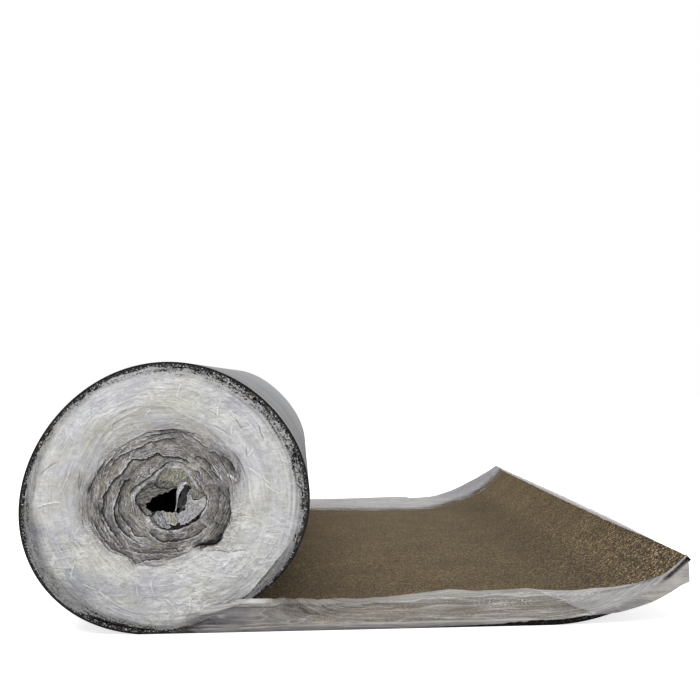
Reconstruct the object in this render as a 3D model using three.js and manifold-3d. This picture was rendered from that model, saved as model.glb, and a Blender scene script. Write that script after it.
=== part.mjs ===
// A roll of mineral-surfaced roofing felt with its last half metre unrolled.
// Millimetres, +Z up. The roll lies along Y, and the loose end runs out towards +X.
// The origin is on the ground, under the roll's axis at the middle of the sheet's width.
import * as THREE from 'three';
import { mergeVertices } from 'three/addons/utils/BufferGeometryUtils.js';
import Module from 'manifold-3d';

const DEGREE = Math.PI / 180;
const FULL_TURN = 2 * Math.PI;

// The sheet
const SHEET_WIDTH = 1000;
const SHEET_THICKNESS = 4.5;

// The roll's section: a circle pressed into a leaning oval by its own weight
const TURNS = 22;
const ROLL_AXIS_HEIGHT = 115.8;
const ROLL_RADIUS = 122.6;
const OVAL = 5.1;
const OVAL_ANGLE = 15 * DEGREE;
const LEAN = 2.4;
const LEAN_ANGLE = -23 * DEGREE;
const START_ANGLE = -102 * DEGREE;
const BORE_HALF_WIDTH = 22;
const BORE_HALF_HEIGHT = 14.5;

// The roll slackens towards its back end, and its right shoulder sinks there
const SHOULDER_SAG = 11;
const SHOULDER_ANGLE = 38 * DEGREE;
const SHOULDER_SPREAD = 65 * DEGREE;

// The turns show on both ends as one V groove that winds inwards
const GROOVE_WIDTH = 1.3;
const GROOVE_DEPTH = 3;
const GROOVE_CHORD_ERROR = 0.6;

// The loose end lies flat, then curls up to its cut edge
const TAIL_START = -25;
const FLAT_END = 331;
const CURL_RADIUS = 175;
const CURL_ANGLE = 46.5 * DEGREE;

// The release film that stands out past both edges of the sheet
const FILM_THICKNESS = 1.2;
const FILM_GAP = 0.3;
const LEG_STEPS = 4;

// The film pushed in over each end of the roll: a bare rim, a collar, a whorl and a hole.
// Places on it are shares of the way from the hole to the collar's outer edge.
const RIM = 13;
const LOW_RIM = 7;
const HOLE = { x: 3, z: 117, halfWidth: 19, halfHeight: 11 };
const COLLAR_STATIONS = 48;
const COLLAR_INNER = 0.46;
const COLLAR_STEP = 3.2;
const COLLAR_FOOT = 0.03;
const COLLAR_THICKNESS = 4;
const COLLAR_EDGE = 1.5;
const PUFF_STEPS = 6;
const PUFF_RISE = 8.5;
const PUFF_SKEW = 0.8;

// The whorl: each turn of film starts under the turn outside it and ends in a free edge
const WHORL_TURNS = 5;
const WHORL_STATIONS = 28;
const WHORL_PITCH = COLLAR_INNER / (WHORL_TURNS + 0.6);
const WHORL_OVERLAP = 1.3;
const WHORL_LAP = 1.03;
const WHORL_TUCK = 0.04;
const WHORL_BED = 2.2;
const WHORL_RISE = 2.8;
const WHORL_RISE_LOST = 0.2;

const HALF_WIDTH = SHEET_WIDTH / 2;
const END_OF_SHEET = FLAT_END + CURL_RADIUS * CURL_ANGLE;

// ---------------------------------------------------------------- solids

const wasm = await Module();
wasm.setup();

// A closed mesh with shared vertices merged, as a manifold solid
function toSolid(geometry) {
  const bare = geometry.clone();
  bare.deleteAttribute('normal');
  bare.deleteAttribute('uv');
  const merged = mergeVertices(bare, 1e-4);
  const vertProperties = merged.attributes.position.array;
  const triVerts = merged.index.array;
  return new wasm.Manifold(new wasm.Mesh({ numProp: 3, vertProperties, triVerts }));
}

function toGeometry(solid) {
  const { vertProperties, triVerts } = solid.getMesh();
  const geometry = new THREE.BufferGeometry();
  geometry.setAttribute('position', new THREE.BufferAttribute(vertProperties, 3));
  geometry.setIndex(new THREE.BufferAttribute(triVerts, 1));
  geometry.computeVertexNormals();
  return geometry;
}

// The flat face that closes a ring of points, facing the side from which the ring runs anticlockwise
function cap(ring) {
  const normal = new THREE.Vector3();
  const product = new THREE.Vector3();
  ring.forEach((point, i) => normal.add(product.crossVectors(point, ring[(i + 1) % ring.length])));
  const across = ring[1].clone().sub(ring[0]).normalize();
  const along = normal.normalize().clone().cross(across);
  const flat = ring.map((point) => new THREE.Vector2(point.dot(across), point.dot(along)));
  return THREE.ShapeUtils.triangulateShape(flat, []).flatMap((face) => face.map((i) => ring[i]));
}

// A skin over rings that all have the same number of points. An endless loft joins its last ring to
// its first, and any other is closed by a cap at each end. The skin faces out whichever way the rings run.
function loft(rings, endless = false) {
  const corners = [];
  const spans = endless ? rings.length : rings.length - 1;
  for (let i = 0; i < spans; i++) {
    const ring = rings[i];
    const next = rings[(i + 1) % rings.length];
    for (let j = 0; j < ring.length; j++) {
      const k = (j + 1) % ring.length;
      corners.push(ring[j], ring[k], next[k], ring[j], next[k], next[j]);
    }
  }
  if (!endless) {
    corners.push(...cap([...rings[0]].reverse()), ...cap(rings[rings.length - 1]));
  }
  const skin = () => toSolid(new THREE.BufferGeometry().setFromPoints(corners));
  if (skin().volume() < 0) {
    corners.reverse();
  }
  return skin();
}

// An outline in the XZ plane, run along the sheet's whole width
function acrossTheWidth(shape, settings) {
  const geometry = new THREE.ExtrudeGeometry(shape, { depth: SHEET_WIDTH, bevelEnabled: false, ...settings });
  const position = geometry.attributes.position;
  for (let i = 0; i < position.count; i++) {
    position.setXYZ(i, position.getX(i), HALF_WIDTH - position.getZ(i), position.getY(i));
  }
  return geometry;
}

// ---------------------------------------------------------------- the roll's section

function outerRadius(angle) {
  const oval = OVAL * Math.cos(2 * (angle - OVAL_ANGLE));
  const lean = LEAN * Math.cos(3 * (angle - LEAN_ANGLE));
  const free = ROLL_RADIUS + oval + lean;
  const down = -Math.sin(angle);
  return down > 0 ? Math.min(free, ROLL_AXIS_HEIGHT / down) : free;
}

function boreRadius(angle) {
  return 1 / Math.hypot(Math.cos(angle) / BORE_HALF_WIDTH, Math.sin(angle) / BORE_HALF_HEIGHT);
}

// A point of the spiral, by how far the sheet has wound inwards from its outermost contact
function wound(turned) {
  const angle = START_ANGLE - turned;
  const radius = THREE.MathUtils.lerp(outerRadius(angle), boreRadius(angle), turned / (FULL_TURN * TURNS));
  return { angle, radius };
}

// The share of its radius that a point at an angle keeps, from 1 at the front end down to the back end
function slackness(angle, y) {
  const away = Math.atan2(Math.sin(angle - SHOULDER_ANGLE), Math.cos(angle - SHOULDER_ANGLE));
  const reach = Math.min(1, Math.abs(away) / SHOULDER_SPREAD);
  const towardsBack = 0.5 + y / SHEET_WIDTH;
  const sink = SHOULDER_SAG * towardsBack * (1 + Math.cos(Math.PI * reach)) / 2;
  return 1 - sink / outerRadius(angle);
}

function rollPoint(angle, radius, y) {
  const r = radius * slackness(angle, y);
  return new THREE.Vector3(r * Math.cos(angle), y, ROLL_AXIS_HEIGHT + r * Math.sin(angle));
}

// ---------------------------------------------------------------- the sheet

function rollBody() {
  const steps = 72;
  const boreSteps = 30;
  const lastTurn = FULL_TURN * (TURNS - 1);
  const onSection = (turned) => {
    const { angle, radius } = wound(turned);
    const { x, z } = rollPoint(angle, radius, -HALF_WIDTH);
    return new THREE.Vector2(x, z);
  };
  const turn = (from, count) => Array.from({ length: count + 1 }, (_, i) => (
    onSection(from + FULL_TURN * i / count)));
  const shape = new THREE.Shape(turn(0, steps));
  shape.holes.push(new THREE.Path(turn(lastTurn, boreSteps).reverse()));
  const geometry = acrossTheWidth(shape, { steps: 2 });
  const position = geometry.attributes.position;
  const point = new THREE.Vector3();
  for (let i = 0; i < position.count; i++) {
    point.fromBufferAttribute(position, i);
    const angle = Math.atan2(point.z - ROLL_AXIS_HEIGHT, point.x);
    const radius = Math.hypot(point.x, point.z - ROLL_AXIS_HEIGHT);
    const settled = rollPoint(angle, radius, point.y);
    position.setXYZ(i, settled.x, settled.y, settled.z);
  }
  return toSolid(geometry);
}

function tailPlate() {
  const shape = new THREE.Shape();
  const cut = CURL_ANGLE - Math.PI / 2;
  shape.moveTo(TAIL_START, 0);
  shape.lineTo(FLAT_END, 0);
  shape.absarc(FLAT_END, CURL_RADIUS, CURL_RADIUS, -Math.PI / 2, cut, false);
  shape.absarc(FLAT_END, CURL_RADIUS, CURL_RADIUS - SHEET_THICKNESS, cut, -Math.PI / 2, true);
  shape.lineTo(TAIL_START, SHEET_THICKNESS);
  return toSolid(acrossTheWidth(shape, { curveSegments: 12 }));
}

// The V groove between the turns on one end of the roll, from the nip to the bore
function turnGroove(side) {
  const end = side * HALF_WIDTH;
  const rings = [];
  let turned = FULL_TURN - 0.3;
  while (turned < FULL_TURN * TURNS) {
    const { angle, radius } = wound(turned);
    const bottom = rollPoint(angle, radius, end);
    bottom.y -= side * GROOVE_DEPTH;
    rings.push([
      rollPoint(angle, radius - GROOVE_WIDTH / 2, end),
      rollPoint(angle, radius + GROOVE_WIDTH / 2, end),
      bottom,
    ]);
    turned += Math.sqrt(8 * GROOVE_CHORD_ERROR / radius);
  }
  return loft(rings);
}

function feltSheet() {
  return rollBody().add(tailPlate()).subtract(turnGroove(-1)).subtract(turnGroove(1));
}

// ---------------------------------------------------------------- the film

// A slow irregular wave round the roll's end, between -1 and 1
function crumple(angle, seed) {
  const wide = Math.sin(3 * angle + 1.7 * seed);
  const middle = Math.sin(7 * angle + 2.9 * seed * seed);
  const narrow = Math.sin(13 * angle + 4.3 * seed);
  return 0.45 * wide + 0.35 * middle + 0.2 * narrow;
}

function wadEdgeRadius(angle) {
  const low = Math.max(0, Math.cos(angle - START_ANGLE - 5 * DEGREE));
  return outerRadius(angle) - THREE.MathUtils.lerp(RIM, LOW_RIM, low ** 4) + crumple(angle, 2);
}

// A point over one end of the roll, by its angle, its share of the way from the hole to the rim, and its height
function overEnd(side, angle, share, height) {
  const y = side * (HALF_WIDTH + FILM_GAP);
  const point = new THREE.Vector3(
    HOLE.x + HOLE.halfWidth * Math.cos(angle), y, HOLE.z + HOLE.halfHeight * Math.sin(angle));
  point.lerp(rollPoint(angle, wadEdgeRadius(angle), y), share);
  point.y += side * height;
  return point;
}

// The broad puffed collar of the outer turns' film, and the thin bed inside it, open in the middle
function collar(side, seed) {
  const rings = [];
  for (let i = 0; i < COLLAR_STATIONS; i++) {
    const angle = FULL_TURN * i / COLLAR_STATIONS;
    const inner = COLLAR_INNER + 0.02 * crumple(angle, seed);
    const step = COLLAR_STEP + 0.7 * crumple(angle, seed + 0.5);
    const section = [[0, WHORL_BED], [inner - COLLAR_FOOT, WHORL_BED], [inner, WHORL_BED + step]];
    for (let k = 1; k <= PUFF_STEPS; k++) {
      const across = k / (PUFF_STEPS + 1);
      const puff = PUFF_RISE * Math.sin(Math.PI * across ** PUFF_SKEW);
      const height = COLLAR_THICKNESS + puff + 1.2 * crumple(angle, seed + 6 + k / 2);
      section.push([THREE.MathUtils.lerp(inner, 1, across), height]);
    }
    section.push([1, COLLAR_EDGE], [1, 0], [0, 0]);
    rings.push(section.map(([share, height]) => overEnd(side, angle, share, height)));
  }
  return loft(rings, true);
}

// One turn of the whorl inside the collar: a wedge of film that rises to its free edge
function whorlTurn(side, seed, turn) {
  const edgeShare = (turned) => {
    const wander = 0.3 * crumple(FULL_TURN * turned, seed + turned);
    return COLLAR_INNER - WHORL_PITCH * Math.max(0, turned + wander);
  };
  const rings = [];
  for (let i = 0; i <= WHORL_STATIONS; i++) {
    const turned = turn + WHORL_LAP * i / WHORL_STATIONS;
    const angle = -FULL_TURN * turned;
    const edge = edgeShare(turned);
    const root = edgeShare(turned - WHORL_OVERLAP) + WHORL_TUCK;
    const rise = WHORL_RISE * (1.4 - WHORL_RISE_LOST * turned) + 0.5 * crumple(angle, seed + 3 * turned);
    const section = [[edge, WHORL_BED / 2], [edge, WHORL_BED + rise], [root, WHORL_BED / 2]];
    rings.push(section.map(([share, height]) => overEnd(side, angle, share, height)));
  }
  return loft(rings);
}

// The film pushed in over one end of the roll
function wad(side, seed) {
  let film = collar(side, seed);
  for (let turn = 0; turn < WHORL_TURNS; turn++) {
    film = film.add(whorlTurn(side, seed, turn));
  }
  return film;
}

// The place on the tail's underside at a length along it, and the direction of its upper side there
function onTail(length) {
  const bent = Math.max(0, length - FLAT_END) / CURL_RADIUS;
  const x = Math.min(length, FLAT_END) + CURL_RADIUS * Math.sin(bent);
  return { x, z: CURL_RADIUS * (1 - Math.cos(bent)), upX: -Math.sin(bent), upZ: Math.cos(bent) };
}

// The film folded over the tail's edge: a wall outside the edge, and a leg that stands at first, then lies
// down on the sheet. Each station is [length along the tail, leg, tilt in degrees, foot, puff], and a foot
// below 0 hangs straight down under the sheet.
function edgeStrip(side, stations) {
  const rings = stations.map(([length, leg, tilt, foot, puff]) => {
    const { x, z, upX, upZ } = onTail(length);
    const place = (inwards, above, drop = 0) => (
      new THREE.Vector3(x + upX * above, side * (HALF_WIDTH - inwards), z + upZ * above - drop));
    const cos = Math.cos(tilt * DEGREE);
    const sin = Math.sin(tilt * DEGREE);
    const corner = SHEET_THICKNESS + FILM_GAP;
    const low = (inwards) => place(inwards, Math.max(0, foot), Math.max(0, -foot));
    const alongLeg = (share, proud) => place(
      -FILM_GAP + leg * share * cos - proud * sin, corner + leg * share * sin + proud * cos);
    const upper = [low(-FILM_GAP - FILM_THICKNESS), place(-FILM_GAP - FILM_THICKNESS, corner + FILM_THICKNESS * cos)];
    const lower = [low(-FILM_GAP), alongLeg(0, 0)];
    for (let step = 1; step <= LEG_STEPS; step++) {
      const share = step / LEG_STEPS;
      upper.push(alongLeg(share, FILM_THICKNESS + puff * Math.sin(Math.PI * (0.15 + 0.85 * share)) ** 2));
      lower.push(alongLeg(share, 0));
    }
    return [...upper, ...lower.reverse()];
  });
  return loft(rings);
}

const FRONT_STATIONS = [
  [4, 9, 90, 0.6, 0],
  [30, 20, 90, 0.6, 0.5],
  [58, 24, 90, 0.6, 1],
  [76, 23, 90, 0.6, 1],
  [92, 24, 62, 0.6, 1],
  [110, 32, 36, 0.6, 2],
  [130, 60, 13, 0.6, 3],
  [151, 103, 2, 0.6, 2],
  [172, 105, 0, 0.6, 3],
  [200, 118, 0, 0.6, 1.5],
  [230, 126, 0, 1, 3],
  [263, 149, 0, 1.6, 1.5],
  [288, 124, 0, 2.2, 3.5],
  [318, 137, 0, 4, 2],
  [340, 143, 0, 4, 3],
  [360, 114, 0, 4, 4],
  [378, 96, 0, 3.4, 2],
  [392, 84, 0, 1, 3],
  [413, 48, 0, 0.6, 2],
  [427, 28, 0, -3, 1],
  [445, 6, 0, -9, 0],
  [462, 3, 0, -15, 0],
  [472, 2, 0, -20, 0],
];

const BACK_STATIONS = [
  [4, 9, 90, 0.6, 0],
  [30, 20, 90, 0.6, 0.5],
  [58, 24, 90, 0.6, 1],
  [76, 23, 90, 0.6, 1],
  [92, 30, 62, 0.6, 1],
  [104, 58, 28, 0.6, 2],
  [118, 104, 8, 0.6, 2],
  [134, 140, 1, 0.6, 2],
  [151, 150, 0, 0.6, 2],
  [190, 168, 0, 0.6, 3],
  [230, 176, 0, 0.6, 1.5],
  [262, 170, 0, 0.6, 3],
  [294, 184, 0, 0.6, 2],
  [320, 166, 0, 0.6, 3],
  [345, 130, 0, 0.6, 5],
  [361, 116, 0, 0.6, 6],
  [382, 118, 0, 0.6, 5],
  [400, 123, 0, 0.6, 6],
  [416, 125, 0, 0.6, 4],
  [438, 112, 0, 0.6, 4],
  [458, 104, 0, 0.6, 2],
  [476, 100, 0, 0.6, 1],
];

// The film's edge past the cut end of the sheet, widest at the back corner
function cutEndLip() {
  const from = END_OF_SHEET + FILM_GAP;
  const front = -0.4 * SHEET_WIDTH;
  const back = HALF_WIDTH + FILM_GAP + FILM_THICKNESS;
  const widest = 8;
  const steps = 8;
  const rings = [];
  for (let i = 0; i <= steps; i++) {
    const share = i / steps;
    const reach = 1 + (widest - 1) * share + 0.8 * Math.sin(9 * share);
    const low = SHEET_THICKNESS - FILM_THICKNESS;
    const high = SHEET_THICKNESS + FILM_GAP + FILM_THICKNESS;
    const corners = [[from, low], [from + reach, low], [from + reach, high], [from, high]];
    rings.push(corners.map(([length, above]) => {
      const { x, z, upX, upZ } = onTail(length);
      return new THREE.Vector3(x + upX * above, THREE.MathUtils.lerp(front, back, share), z + upZ * above);
    }));
  }
  return loft(rings);
}

// ---------------------------------------------------------------- the part

const feltMaterial = new THREE.MeshStandardMaterial({ color: 0x3a3632, roughness: 0.9, metalness: 0 });
const filmMaterial = new THREE.MeshStandardMaterial({ color: 0xd9d7d0, roughness: 0.35, metalness: 0 });

function namedMesh(name, solid, material) {
  const mesh = new THREE.Mesh(toGeometry(solid), material);
  mesh.name = name;
  return mesh;
}

const roll = new THREE.Group();
roll.add(namedMesh('felt_sheet', feltSheet(), feltMaterial));
roll.add(namedMesh('film_front', wad(-1, 1).add(edgeStrip(-1, FRONT_STATIONS)), filmMaterial));
roll.add(namedMesh('film_back', wad(1, 4).add(edgeStrip(1, BACK_STATIONS)).add(cutEndLip()), filmMaterial));

export default roll;
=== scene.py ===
import math

import bmesh
import bpy
import numpy as np
from mathutils import Matrix, Vector


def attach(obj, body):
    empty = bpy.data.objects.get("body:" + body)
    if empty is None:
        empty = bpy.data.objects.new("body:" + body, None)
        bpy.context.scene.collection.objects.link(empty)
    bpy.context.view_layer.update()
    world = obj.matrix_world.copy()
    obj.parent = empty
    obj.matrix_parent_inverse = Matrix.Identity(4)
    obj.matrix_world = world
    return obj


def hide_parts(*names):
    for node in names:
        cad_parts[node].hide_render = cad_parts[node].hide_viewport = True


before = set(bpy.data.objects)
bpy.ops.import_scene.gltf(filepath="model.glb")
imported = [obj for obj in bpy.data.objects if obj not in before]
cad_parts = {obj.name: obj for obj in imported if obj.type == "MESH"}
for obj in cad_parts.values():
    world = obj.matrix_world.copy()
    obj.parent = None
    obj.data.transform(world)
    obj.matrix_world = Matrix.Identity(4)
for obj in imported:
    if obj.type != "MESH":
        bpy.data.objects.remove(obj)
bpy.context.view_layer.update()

# A roll of mineral-surfaced roofing felt with its last half metre unrolled, and with the release film that
# stands out past both edges crumpled over the roll's ends and folded along the unrolled stretch.
# Metres, +Z up. The roll lies along Y and the loose end runs towards +X.

MM = 0.001
TURN = 2 * math.pi

# ---------------------------------------------------------------- the shape that the CAD solids have

SHEET_WIDTH = 1.0
HALF_WIDTH = SHEET_WIDTH / 2
SHEET_THICKNESS = 4.5 * MM
TURNS = 22
AXIS_HEIGHT = 115.8 * MM
ROLL_RADIUS = 122.6 * MM
OVAL, OVAL_ANGLE = 5.1 * MM, math.radians(15)
LEAN, LEAN_ANGLE = 2.4 * MM, math.radians(-23)
START_ANGLE = math.radians(-102)
BORE_HALF_WIDTH, BORE_HALF_HEIGHT = 22 * MM, 14.5 * MM
SHOULDER_SAG = 11 * MM
SHOULDER_ANGLE, SHOULDER_SPREAD = math.radians(38), math.radians(65)
TAIL_START = -25 * MM
FLAT_END = 331 * MM
CURL_RADIUS = 175 * MM
CURL_ANGLE = math.radians(46.5)
END_OF_SHEET = FLAT_END + CURL_RADIUS * CURL_ANGLE
FRONT, BACK = -1, 1
NAMES = {FRONT: "front", BACK: "back"}


def outer_radius(angle):
    """The radius of the roll's outside: slightly oval, leaning a little, and flat where it lies."""
    free = ROLL_RADIUS + OVAL * np.cos(2 * (angle - OVAL_ANGLE)) + LEAN * np.cos(3 * (angle - LEAN_ANGLE))
    down = np.maximum(-np.sin(angle), 1e-3)
    return np.minimum(free, AXIS_HEIGHT / down)


def bore_radius(angle):
    return 1 / np.hypot(np.cos(angle) / BORE_HALF_WIDTH, np.sin(angle) / BORE_HALF_HEIGHT)


def wound_radius(turned):
    """The radius of the sheet's outer side where it has wound inwards that far, in radians."""
    angle = START_ANGLE - turned
    share = turned / (TURN * TURNS)
    return (1 - share) * outer_radius(angle) + share * bore_radius(angle)


def roll_point(angle, radius, y):
    """A point of the roll, whose right shoulder sinks towards the back end."""
    away = np.abs(np.arctan2(np.sin(angle - SHOULDER_ANGLE), np.cos(angle - SHOULDER_ANGLE)))
    reach = np.minimum(1, away / SHOULDER_SPREAD)
    sink = SHOULDER_SAG * (0.5 + y / SHEET_WIDTH) * (1 + np.cos(math.pi * reach)) / 2
    r = radius * (1 - sink / outer_radius(angle))
    return np.stack(np.broadcast_arrays(r * np.cos(angle), y, AXIS_HEIGHT + r * np.sin(angle)), axis=-1)


def tail_point(length, y, above):
    """A point of the unrolled stretch: how far along it, and how far above its underside."""
    bent = np.maximum(0, length - FLAT_END) / CURL_RADIUS
    x = np.minimum(length, FLAT_END) + (CURL_RADIUS - above) * np.sin(bent)
    z = CURL_RADIUS - (CURL_RADIUS - above) * np.cos(bent)
    return np.stack(np.broadcast_arrays(x, y, z), axis=-1)


# ---------------------------------------------------------------- noise and smooth steps


def hashed(i, j, seed):
    """A fixed number from 0 to 1 for each pair of whole numbers."""
    n = i * 374761393 + j * 668265263 + seed * 69069
    n = (n ^ (n >> 13)) & 0x7FFFFFFF
    n = (n * 1274126177) & 0x7FFFFFFF
    n = (n ^ (n >> 15)) * 2246822519 & 0x7FFFFFFF
    return ((n ^ (n >> 16)) & 0xFFFF) / 65535.0


def drift(u, v, seed, around=0):
    """Smooth noise from about -1 to 1 with one lump to a unit, repeating every `around` units of u."""
    u, v = np.broadcast_arrays(u, v)
    i, j = np.floor(u).astype(np.int64), np.floor(v).astype(np.int64)
    total = 0.0
    for di in (0, 1):
        for dj in (0, 1):
            corner = (i + di) % around if around else i + di
            slope = TURN * hashed(corner, j + dj, seed)
            du, dv = u - i - di, v - j - dj
            fade = (1 - du * du) ** 3 * (1 - dv * dv) ** 3
            total = total + fade * (du * np.cos(slope) + dv * np.sin(slope))
    return 2.2 * total


def round_drift(turn, lumps, v, seed):
    """The same noise round the roll's axis, with that many lumps to a turn."""
    return drift(turn * lumps, v, seed, lumps)


def creased(u, v, seed, around=0, octaves=3, sharp=7.0):
    """Noise from 0 to about 1 that is flat but for thin, long, crossing crests, each octave half as high."""
    total = most = 0.0
    for octave in range(octaves):
        step = 2 ** octave
        crest = np.exp(-sharp * np.abs(drift(u * step, v * step, seed + 17 * octave, around * step)))
        total = total + crest / step
        most += 1 / step
    return total / most


def dented(u, v, seed):
    """Tilted dents that meet in creases, as a height from 0 to about 1."""
    u, v = np.broadcast_arrays(u, v)
    i, j = np.floor(u).astype(np.int64), np.floor(v).astype(np.int64)
    lowest = np.inf
    for di in (-1, 0, 1):
        for dj in (-1, 0, 1):
            a, b = i + di, j + dj
            du, dv = u - a - hashed(a, b, seed), v - b - hashed(a, b, seed + 5)
            tilt = (hashed(a, b, seed + 7) - 0.5) * du + (hashed(a, b, seed + 9) - 0.5) * dv
            lowest = np.minimum(lowest, du * du + dv * dv + 1.1 * tilt)
    return lowest


def between(low, high, value):
    """0 below low, 1 above high, and smooth between them."""
    share = np.clip((value - low) / (high - low), 0, 1)
    return share * share * (3 - 2 * share)


def window(start, full, fading, end, value):
    """1 from full to fading, 0 before start and after end, and smooth between them."""
    return between(start, full, value) * between(end, fading, value)


def smoothed(values, reach, closed=False):
    """Each value averaged with its neighbours, wrapping round the rows where they close."""
    for axis in (0, 1):
        widths = [(0, 0), (0, 0)]
        widths[axis] = (reach, reach)
        padded = np.pad(values, widths, "wrap" if closed and axis == 0 else "edge")
        picks = np.arange(values.shape[axis])
        values = sum(np.take(padded, picks + shift, axis) for shift in range(2 * reach + 1)) / (2 * reach + 1)
    return values


def relief(height, closed=False):
    """How far each point stands above its surroundings."""
    return height - smoothed(height, 2, closed)


# ---------------------------------------------------------------- meshes

WELD = 0.02 * MM
SHARP_ANGLE = math.radians(50)


class Patchwork:
    """Grids of points that become one mesh, with a UV and named numbers at each point."""

    def __init__(self, names=()):
        self.numbers = {name: [] for name in names}
        self.points, self.uvs, self.quads, self.materials = [], [], [], []
        self.count = 0

    def add(self, points, uv, material=0, flip=False, kept=None, **numbers):
        """A grid of points, of which the quads are kept whose four corners are all marked so."""
        rows, columns = points.shape[:2]
        index = self.count + np.arange(rows * columns).reshape(rows, columns)
        corners = [index[:-1, :-1], index[:-1, 1:], index[1:, 1:], index[1:, :-1]]
        if flip:
            corners.reverse()
        quads = np.stack(corners, axis=-1).reshape(-1, 4)
        if kept is not None:
            quads = quads[kept.ravel()[quads - self.count].all(axis=1)]
        self.points.append(points.reshape(-1, 3))
        self.uvs.append(np.stack(np.broadcast_arrays(*uv), axis=-1).reshape(-1, 2))
        for name, values in self.numbers.items():
            values.append(np.broadcast_to(numbers.get(name, 0.0), (rows, columns)).ravel())
        self.quads.append(quads)
        self.materials.append(np.full(len(quads), material, np.int32))
        self.count += rows * columns

    def make(self, name, materials):
        """An object of all the grids, joined where their points meet."""
        mesh = bpy.data.meshes.new(name)
        quads = np.concatenate(self.quads)
        mesh.vertices.add(self.count)
        mesh.vertices.foreach_set("co", np.concatenate(self.points).astype(np.float32).ravel())
        mesh.loops.add(quads.size)
        mesh.loops.foreach_set("vertex_index", quads.astype(np.int32).ravel())
        mesh.polygons.add(len(quads))
        mesh.polygons.foreach_set("loop_start", np.arange(0, quads.size, 4, dtype=np.int32))
        mesh.polygons.foreach_set("material_index", np.concatenate(self.materials))
        mesh.update(calc_edges=True)
        layer = mesh.uv_layers.new(name="sheet")
        layer.data.foreach_set("uv", np.concatenate(self.uvs)[quads.ravel()].astype(np.float32).ravel())
        for number, values in self.numbers.items():
            attribute = mesh.attributes.new(number, "FLOAT", "POINT")
            attribute.data.foreach_set("value", np.concatenate(values).astype(np.float32))
        work = bmesh.new()
        work.from_mesh(mesh)
        bmesh.ops.remove_doubles(work, verts=work.verts, dist=WELD)
        work.to_mesh(mesh)
        work.free()
        mesh.validate()
        mesh.shade_smooth()
        mesh.set_sharp_from_angle(angle=SHARP_ANGLE)
        for material in materials:
            mesh.materials.append(material)
        return linked(name, mesh)


def linked(name, data):
    """A new object of the scene."""
    made = bpy.data.objects.new(name, data)
    bpy.context.scene.collection.objects.link(made)
    return made


def finish_piece(piece, slot, *nodes):
    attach(piece, "root")
    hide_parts(*nodes)
    return piece


# ---------------------------------------------------------------- materials


def colour(red, green, blue):
    """A screen colour, 0 to 255, as the linear numbers that shaders take."""
    def linear(value):
        value /= 255
        return value / 12.92 if value <= 0.04045 else ((value + 0.055) / 1.055) ** 2.4
    return (linear(red), linear(green), linear(blue), 1.0)


class Nodes:
    """A node tree under construction, where an input is given a value or another node's output."""

    def __init__(self, owner):
        owner.use_nodes = True
        self.tree = owner.node_tree
        self.tree.nodes.clear()

    def node(self, kind, inputs=None, **settings):
        made = self.tree.nodes.new(kind)
        for key, value in settings.items():
            setattr(made, key, value)
        for key, value in (inputs or {}).items():
            self.put(made, key, value)
        return made

    def put(self, node, key, value):
        if isinstance(value, bpy.types.NodeSocket):
            self.tree.links.new(value, node.inputs[key])
        else:
            node.inputs[key].default_value = value

    def maths(self, operation, a, b, clamp=False):
        return self.node("ShaderNodeMath", {0: a, 1: b}, operation=operation, use_clamp=clamp).outputs[0]

    def plus(self, a, b, clamp=False):
        return self.maths("ADD", a, b, clamp)

    def minus(self, a, b, clamp=False):
        return self.maths("SUBTRACT", a, b, clamp)

    def times(self, a, b, clamp=False):
        return self.maths("MULTIPLY", a, b, clamp)

    def larger(self, a, b):
        return self.maths("MAXIMUM", a, b)


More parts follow.
